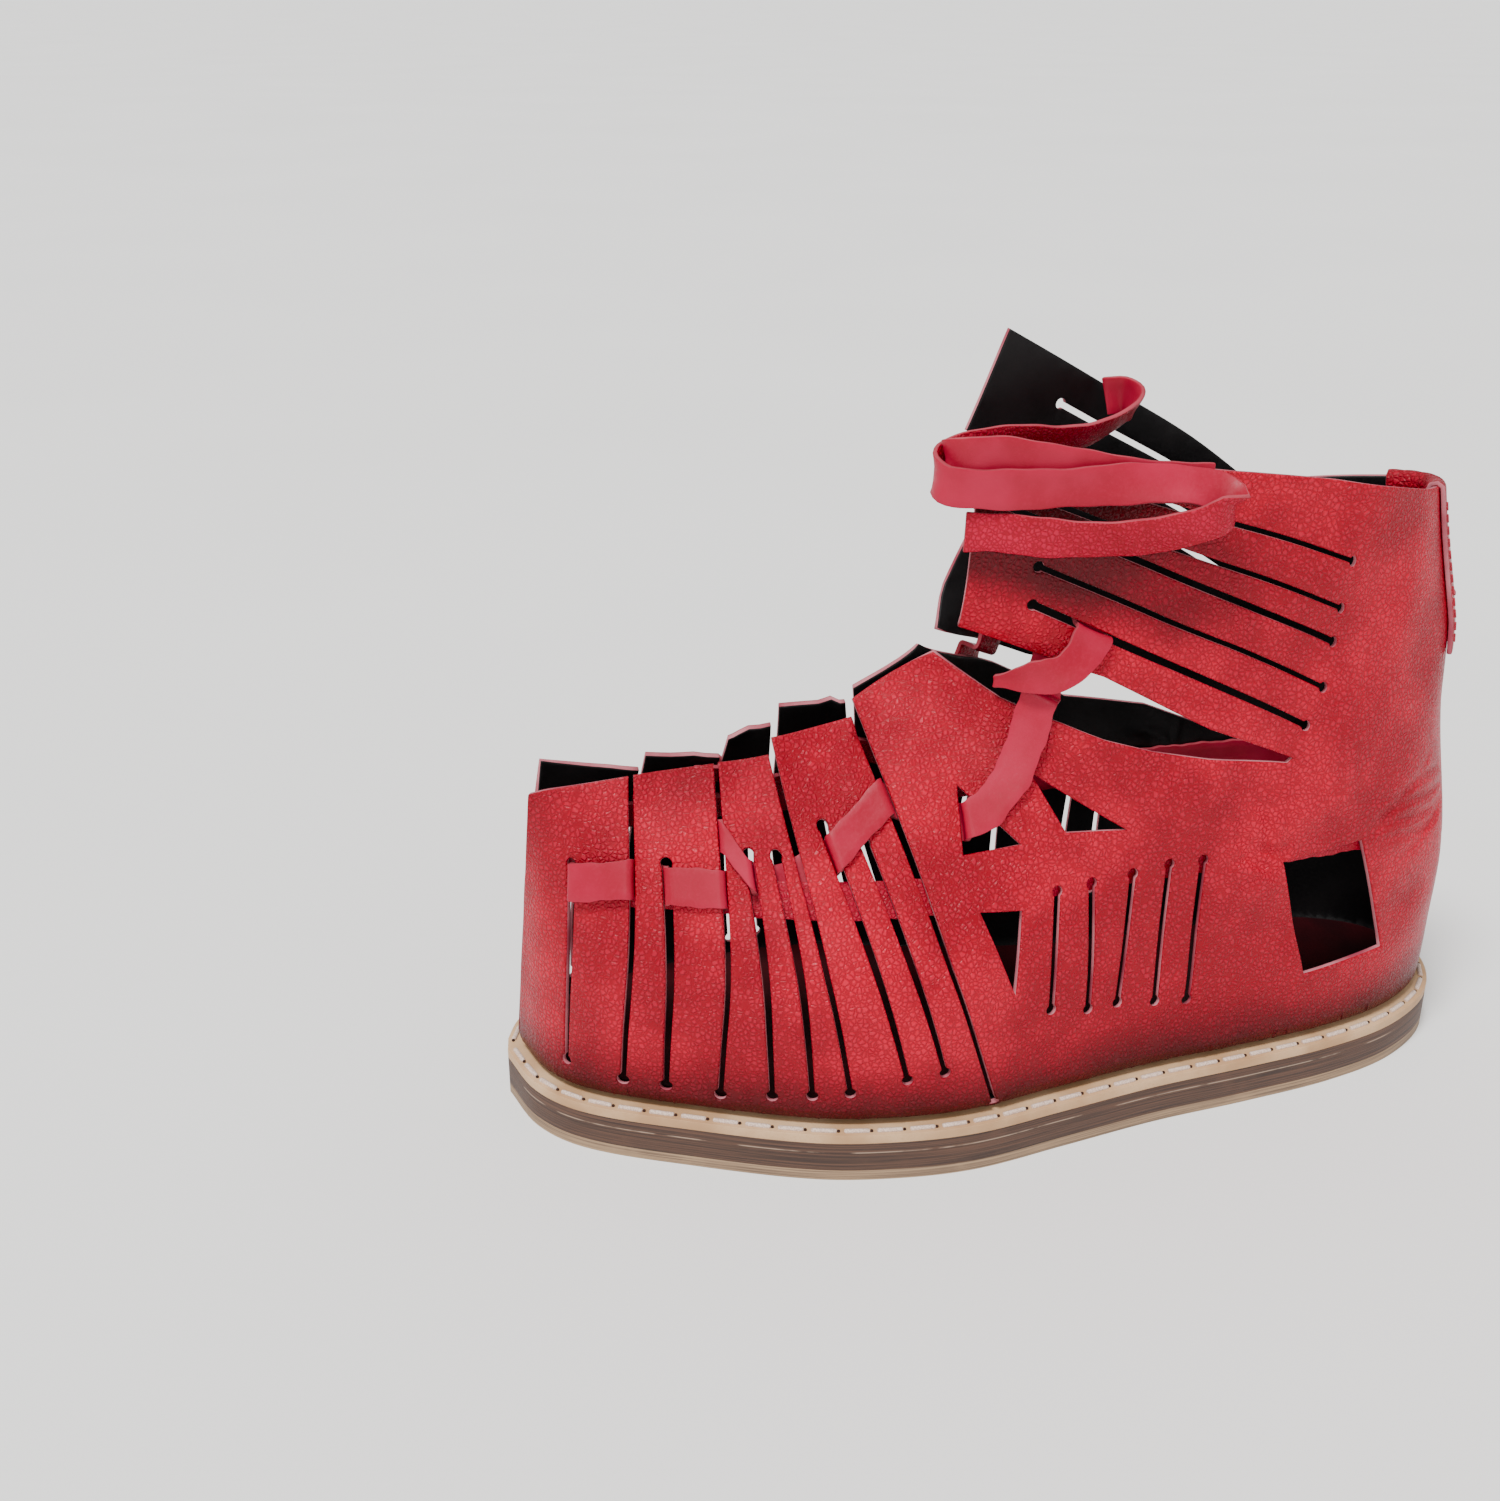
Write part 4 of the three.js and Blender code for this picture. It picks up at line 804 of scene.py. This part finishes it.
def buildUpper():
    there = sideOutline("outer")
    back = turnedOver(sideOutline("inner"))
    foot = [np.array([x, wallFoot - turnLength - marginAt(x)])
            for x in np.linspace(otherToe, toe, 120)[1:-1] * footLength]
    longest = upperFineness["edge"]
    rings = [closeRing(there + back + foot, longest, True)]
    for hole in sideHoles("outer") + [turnedOver(hole) for hole in sideHoles("inner")]:
        rings.append(closeRing(hole, longest, False))
    edgePoints = np.concatenate(rings)
    ways = np.concatenate([insetWays(ring) for ring in rings])

    bm = bmesh.new()
    number = bm.verts.layers.int.new("number")
    start = 0
    for ring in rings:
        made = []
        for i in range(start, start + len(ring)):
            place = edgePoints[i] + ways[i] * edgeRound[0][0]
            vertex = bm.verts.new((place[0], place[1], 0))
            vertex[number] = i
            made.append(vertex)
        for a, b in zip(made, made[1:] + made[:1]):
            bm.edges.new((a, b))
        start += len(ring)
    border = bm.edges[:]
    bmesh.ops.triangle_fill(bm, edges=border, use_beauty=True, normal=(0, 0, 1))
    for inset, depth in edgeRound[1:]:
        grown = bmesh.ops.extrude_edge_only(bm, edges=border)["geom"]
        border = [part for part in grown if isinstance(part, bmesh.types.BMEdge)]
        for part in grown:
            if isinstance(part, bmesh.types.BMFace):
                part.material_index = 0 if depth < 0.5 else 2 if depth < 1.7 else 1
            if isinstance(part, bmesh.types.BMVert):
                place = edgePoints[part[number]] + ways[part[number]] * inset
                part.co = (place[0], place[1], -depth)
    backs = bmesh.ops.triangle_fill(bm, edges=border, use_beauty=True, normal=(0, 0, -1))["geom"]
    for part in backs:
        if isinstance(part, bmesh.types.BMFace):
            part.material_index = 1
    bmesh.ops.recalc_face_normals(bm, faces=bm.faces[:])

    low = edgePoints.min(axis=0)
    high = edgePoints.max(axis=0)
    for axis in (0, 1):
        normal = (1, 0, 0) if axis == 0 else (0, 1, 0)
        for place in np.arange(low[axis] + upperFineness["grid"], high[axis], upperFineness["grid"]):
            centre = (place, 0, 0) if axis == 0 else (0, place, 0)
            parts = bm.verts[:] + bm.edges[:] + bm.faces[:]
            bmesh.ops.bisect_plane(bm, geom=parts, dist=0.01, plane_co=centre, plane_no=normal)

    for fromGirth, toGirth, fromRise, toRise, step in fineAreas:
        for turned in (False, True):
            ends = [(2 * heel - girth if turned else girth) * footLength for girth in (fromGirth, toGirth)]
            left, right = min(ends), max(ends)
            base, top = heightOf(fromRise), heightOf(toRise)
            near = [face for face in bm.faces if left < face.calc_center_median().x < right
                    and base < face.calc_center_median().y < top]
            parts = near + list({edge for face in near for edge in face.edges})
            parts += list({vertex for face in near for vertex in face.verts})
            cuts = (((1, 0, 0), np.arange(left, right, step)), ((0, 1, 0), np.arange(base, top, step)))
            for normal, places in cuts:
                for place in places + fineShift:
                    centre = (place, place, 0)
                    cut = bmesh.ops.bisect_plane(bm, geom=parts, dist=0.01, plane_co=centre, plane_no=normal)
                    parts = cut["geom"]

    flatPlaces = np.array([vertex.co[:] for vertex in bm.verts])
    x, y = flatPlaces[:, 0], flatPlaces[:, 1]
    pattern = bm.loops.layers.uv.new("pattern")
    shade = bm.verts.layers.float.new("shade")
    shades = shadeAt(x, y)
    for face in bm.faces:
        for loop in face.loops:
            loop[pattern].uv = (loop.vert.co.x * mm, loop.vert.co.y * mm)
    folds = (creaseDepth(x, y) + waveDepth(x, y)) * smoothstep(y, 18, 26)
    points = onLeather(x, y, folds - flatPlaces[:, 2])
    for vertex, point, dark in zip(bm.verts, points, shades):
        vertex.co = point
        vertex[shade] = dark
    return finishPiece(bm, "upper_leather", [redGrain, blackSide, pinkEdge], ["upper"])


upper = buildUpper()
print("upper cut and lasted,", len(upper.data.polygons), "faces")

# Back stay: a strip folded over the collar at the heel
stayLook = dict(columns=26, rows=70, inset=2.6, pitch=3.4, stitch=0.72, thread=0.55,
                round=0.35)


def collarAt(x):
    side = "outer" if x <= heel * footLength else "inner"
    (a, riseA), (b, riseB) = collar[side][-2:]
    at = x if side == "outer" else twiceHeel - x
    return float(np.interp(at, [a * footLength, b * footLength], [heightOf(riseA), heightOf(riseB)]))


# millimetres across the strip and along it, from the fold: negative outside, positive inside
def stayPlace(place, along, depthOut):
    x = heel * footLength + place
    fold = shoe["leather"] / 2 + shoe["fit"] + shoe["stayLeather"] / 2
    height = np.array([collarAt(value) for value in x]) + shoe["fit"] + shoe["stayLeather"] / 2 - fold
    quarter = fold * math.pi / 2
    angle = np.clip(along / fold, -math.pi / 2, math.pi / 2)
    beyond = np.maximum(np.abs(along) - quarter, 0)
    depth = shoe["leather"] / 2 + (fold + depthOut) * np.sin(angle)
    rise = height + (fold + depthOut) * np.cos(angle) - beyond
    bulging = creaseDepth(x, rise) + waveDepth(x, rise)
    return onLeather(x, rise, depth + bulging)


def buildStay():
    bm = bmesh.new()
    bmesh.ops.create_grid(bm, x_segments=stayLook["columns"], y_segments=stayLook["rows"], size=0.5)
    flatPlaces = np.array([vertex.co[:2] for vertex in bm.verts]) + 0.5
    place = (flatPlaces[:, 0] - 0.5) * shoe["stayWidth"]
    reach = shoe["stayOuter"] + (shoe["stayInner"] - shoe["stayOuter"]) * flatPlaces[:, 0]
    along = -reach + (reach + shoe["stayInside"]) * flatPlaces[:, 1]
    shade = bm.verts.layers.float.new("shade")
    for vertex, point, dark in zip(bm.verts, stayPlace(place, along, 0.0), 0.12 + 0.2 * (np.abs(along) < 3)):
        vertex.co = point
        vertex[shade] = dark
    bmesh.ops.recalc_face_normals(bm, faces=bm.faces[:])
    top = max(bm.faces, key=lambda face: face.calc_center_median().z)
    if top.normal.z < 0:
        bmesh.ops.reverse_faces(bm, faces=bm.faces[:])
    piece = finishPiece(bm, "back_stay_leather", [redGrain, thongFlesh, pinkEdge], ["back_stay"])
    giveThickness(piece, shoe["stayLeather"], stayLook["round"])


# stitches as short rods with rounded ends, all joined in one mesh
def sew(name, seats, length, radius, looks, holes=0.0):
    bm = bmesh.new()
    for middle, along, up in seats:
        side = along.cross(up).normalized()
        turn = Matrix((side, along.cross(side), along)).transposed().to_4x4()
        place = Matrix.Translation(middle) @ turn
        bmesh.ops.create_cone(bm, cap_ends=True, segments=8, radius1=radius, radius2=radius, depth=length,
                              matrix=place)
    rims = [edge for edge in bm.edges if len(edge.link_faces) == 2
            and max(len(face.verts) for face in edge.link_faces) > 4]
    bmesh.ops.bevel(bm, geom=rims, offset=radius * 0.6, offset_type="OFFSET", affect="EDGES", segments=2,
                    profile=0.5, material=-1)
    # dark discs at the ends of each stitch: painted shade of the awl holes, which are not cut
    if holes:
        for middle, along, up in seats:
            upright = up.to_track_quat("Z", "Y").to_matrix().to_4x4()
            place = Matrix.Translation(middle + along * (length / 2 + holes)) @ upright
            before = set(bm.faces)
            bmesh.ops.create_cone(bm, cap_ends=True, segments=8, radius1=holes, radius2=holes,
                                  depth=radius * 0.9, matrix=place)
            for face in set(bm.faces) - before:
                face.material_index = 1
    bmesh.ops.recalc_face_normals(bm, faces=bm.faces[:])
    finishPiece(bm, name, looks, ())


def staySeats():
    half = shoe["stayWidth"] / 2 - stayLook["inset"]
    rows = []
    outerLow = -(shoe["stayInner"] - stayLook["inset"])
    for place in (-half, half):
        low = -(shoe["stayOuter"] if place < 0 else shoe["stayInner"]) + stayLook["inset"] + 2
        rows.append([(place, along) for along in np.arange(low, -5, stayLook["pitch"])])
        rows.append([(place, along) for along in np.arange(6, shoe["stayInside"] - 4, stayLook["pitch"])])
        inner = place * 0.78
        rows.append([(inner, along) for along in np.arange(6, shoe["stayInside"] - 4, stayLook["pitch"])])
    rows.append([(place, outerLow) for place in np.arange(-half + 3, half - 2, stayLook["pitch"])])
    seats = []
    for row in rows:
        row = np.array(row)
        lift = shoe["stayLeather"] / 2 + 0.15
        step = np.array([0.4, 0]) if abs(row[0, 1] - row[-1, 1]) < 1 else np.array([0, 0.4])
        here = stayPlace(row[:, 0], row[:, 1], lift)
        ahead = stayPlace(row[:, 0] + step[0], row[:, 1] + step[1], lift)
        above = stayPlace(row[:, 0], row[:, 1], lift + 1)
        for a, b, c in zip(here, unit(ahead - here), unit(above - here)):
            seats.append((Vector(a), Vector(b), Vector(c)))
    return seats


buildStay()
sew("back_stay_stitches", staySeats(), stayLook["pitch"] * stayLook["stitch"], stayLook["thread"] / 2,
    [redThread])
print("back stay sewn")

# Soles
soleFineness = dict(points=300, seats=2400)


def soleRing(grow, skip, count):
    girth = np.linspace(toe + skip, otherToe - skip, count)
    height = np.full(count, float(soleTop))
    outwards = unit(outward(girth, height) * [1, 1, 0])
    return (wall(girth, height) + outwards * grow)[:, :2]


def buildPlate(name, ring, bottom, thickness, looks, replaced, roundTop, roundBottom):
    bm = bmesh.new()
    made = [bm.verts.new((x, y, bottom)) for x, y in ring]
    for a, b in zip(made, made[1:] + made[:1]):
        bm.edges.new((a, b))
    base = bmesh.ops.triangle_fill(bm, edges=bm.edges[:], use_beauty=True, normal=(0, 0, 1))["geom"]
    faces = [part for part in base if isinstance(part, bmesh.types.BMFace)]
    grown = bmesh.ops.extrude_face_region(bm, geom=faces, use_keep_orig=True)["geom"]
    lifted = [part for part in grown if isinstance(part, bmesh.types.BMVert)]
    bmesh.ops.translate(bm, vec=(0, 0, thickness), verts=lifted)
    bmesh.ops.recalc_face_normals(bm, faces=bm.faces[:])
    for height, size in ((bottom, roundBottom), (bottom + thickness, roundTop)):
        rim = [edge for edge in bm.edges if all(abs(v.co.z - height) < 1e-4 for v in edge.verts)
               and edge.calc_face_angle(0) > 1.0]
        bmesh.ops.bevel(bm, geom=rim, offset=size, offset_type="OFFSET", affect="EDGES", segments=3,
                        profile=0.5, material=-1, clamp_overlap=True)
    piece = finishPiece(bm, name, looks, replaced)
    piece.data.polygons.foreach_set("use_smooth", [abs(p.normal.z) < 0.98 for p in piece.data.polygons])


soleShape = soleRing(shoe["weltLedge"], 0, soleFineness["points"])[:-1]
insoleBottom = soleTop + 2 * shoe["fit"] + shoe["leather"]
insoleShape = soleRing(-shoe["turnRadius"] - 3 * shoe["fit"], shoe["insoleSkip"], soleFineness["points"])
buildPlate("outsole_leather", soleShape, 0, shoe["outsole"], [bottomLeather], ["outsole"],
           0.15, 0.7)
buildPlate("midsole_stack", soleShape, shoe["outsole"], shoe["midsole"], [stackLeather], ["midsole"],
           0.3, 0.15)
buildPlate("welt_rand", soleShape, shoe["outsole"] + shoe["midsole"], shoe["welt"], [weltLeather], ["welt"],
           0.7, 0.3)
buildPlate("insole_sock", insoleShape, insoleBottom, shoe["insole"], [sockLeather], ["insole"],
           0.4, 0.2)

weltStitch = dict(pitch=8.6, length=6.8, radius=0.7, fromWall=1.7, hole=0.42)


def weltSeats():
    ring = soleRing(weltStitch["fromWall"], 0, soleFineness["seats"])
    steps = np.linalg.norm(np.diff(ring, axis=0), axis=1)
    along = np.concatenate([[0], np.cumsum(steps)])
    count = int(along[-1] / weltStitch["pitch"])
    seats = []
    for place in (np.arange(count) + 0.5) * along[-1] / count:
        ends = [[np.interp(place + way * weltStitch["length"] / 2, along, ring[:, axis]) for axis in (0, 1)]
                for way in (-1, 1)]
        a, b = [Vector((end[0], end[1], soleTop + weltStitch["radius"] * 0.2)) for end in ends]
        seats.append(((a + b) / 2, (b - a).normalized(), Vector((0, 0, 1))))
    return seats


sew("welt_stitches", weltSeats(), weltStitch["length"], weltStitch["radius"], [paleThread, awlHole],
    weltStitch["hole"])
print("soles built and sewn")

# Floor and light
studio = dict(floor="#F7F6F4", mottle="#EFEEEC", floorSize=80.0, world="#FFFFFF", worldPower=0.72)


def buildFloor():
    bm = bmesh.new()
    bmesh.ops.create_grid(bm, x_segments=1, y_segments=1, size=studio["floorSize"] / 2)
    mesh = bpy.data.meshes.new("floor")
    bm.to_mesh(mesh)
    bm.free()
    floor = bpy.data.objects.new("floor", mesh)
    bpy.context.scene.collection.objects.link(floor)
    material, surface, place = startMaterial("studio floor, matt pale paint", **{"Roughness": 0.9})
    mottle = cloudy(material, place, 3, 2)
    painted = mixColours(material, studio["floor"], studio["mottle"], mottle)
    connect(material, painted, surface.inputs["Base Color"])
    mesh.materials.append(material)


# a lamp that looks from its place at the shoe
def addLight(kind, name, place, size, power):
    data = bpy.data.lights.new(name, kind)
    if kind == "SUN":
        data.angle = math.radians(size)
    else:
        data.shape = "DISK"
        data.size = size
    data.energy = power
    light = bpy.data.objects.new(name, data)
    light.location = place
    light.rotation_mode = "QUATERNION"
    light.rotation_quaternion = (Vector((0, 0, 0.08)) - Vector(place)).to_track_quat("-Z", "Y")
    bpy.context.scene.collection.objects.link(light)


buildFloor()
addLight("SUN", "overhead softbox", (0.35, -0.45, 1.5), 16, 3.6)
addLight("AREA", "side reflector", (1.2, -0.5, 0.7), 0.5, 5)
world = bpy.data.worlds.new("studio")
world.use_nodes = True
world.node_tree.nodes["Background"].inputs["Color"].default_value = paint(studio["world"])
world.node_tree.nodes["Background"].inputs["Strength"].default_value = studio["worldPower"]
bpy.context.scene.world = world
print("studio lit")
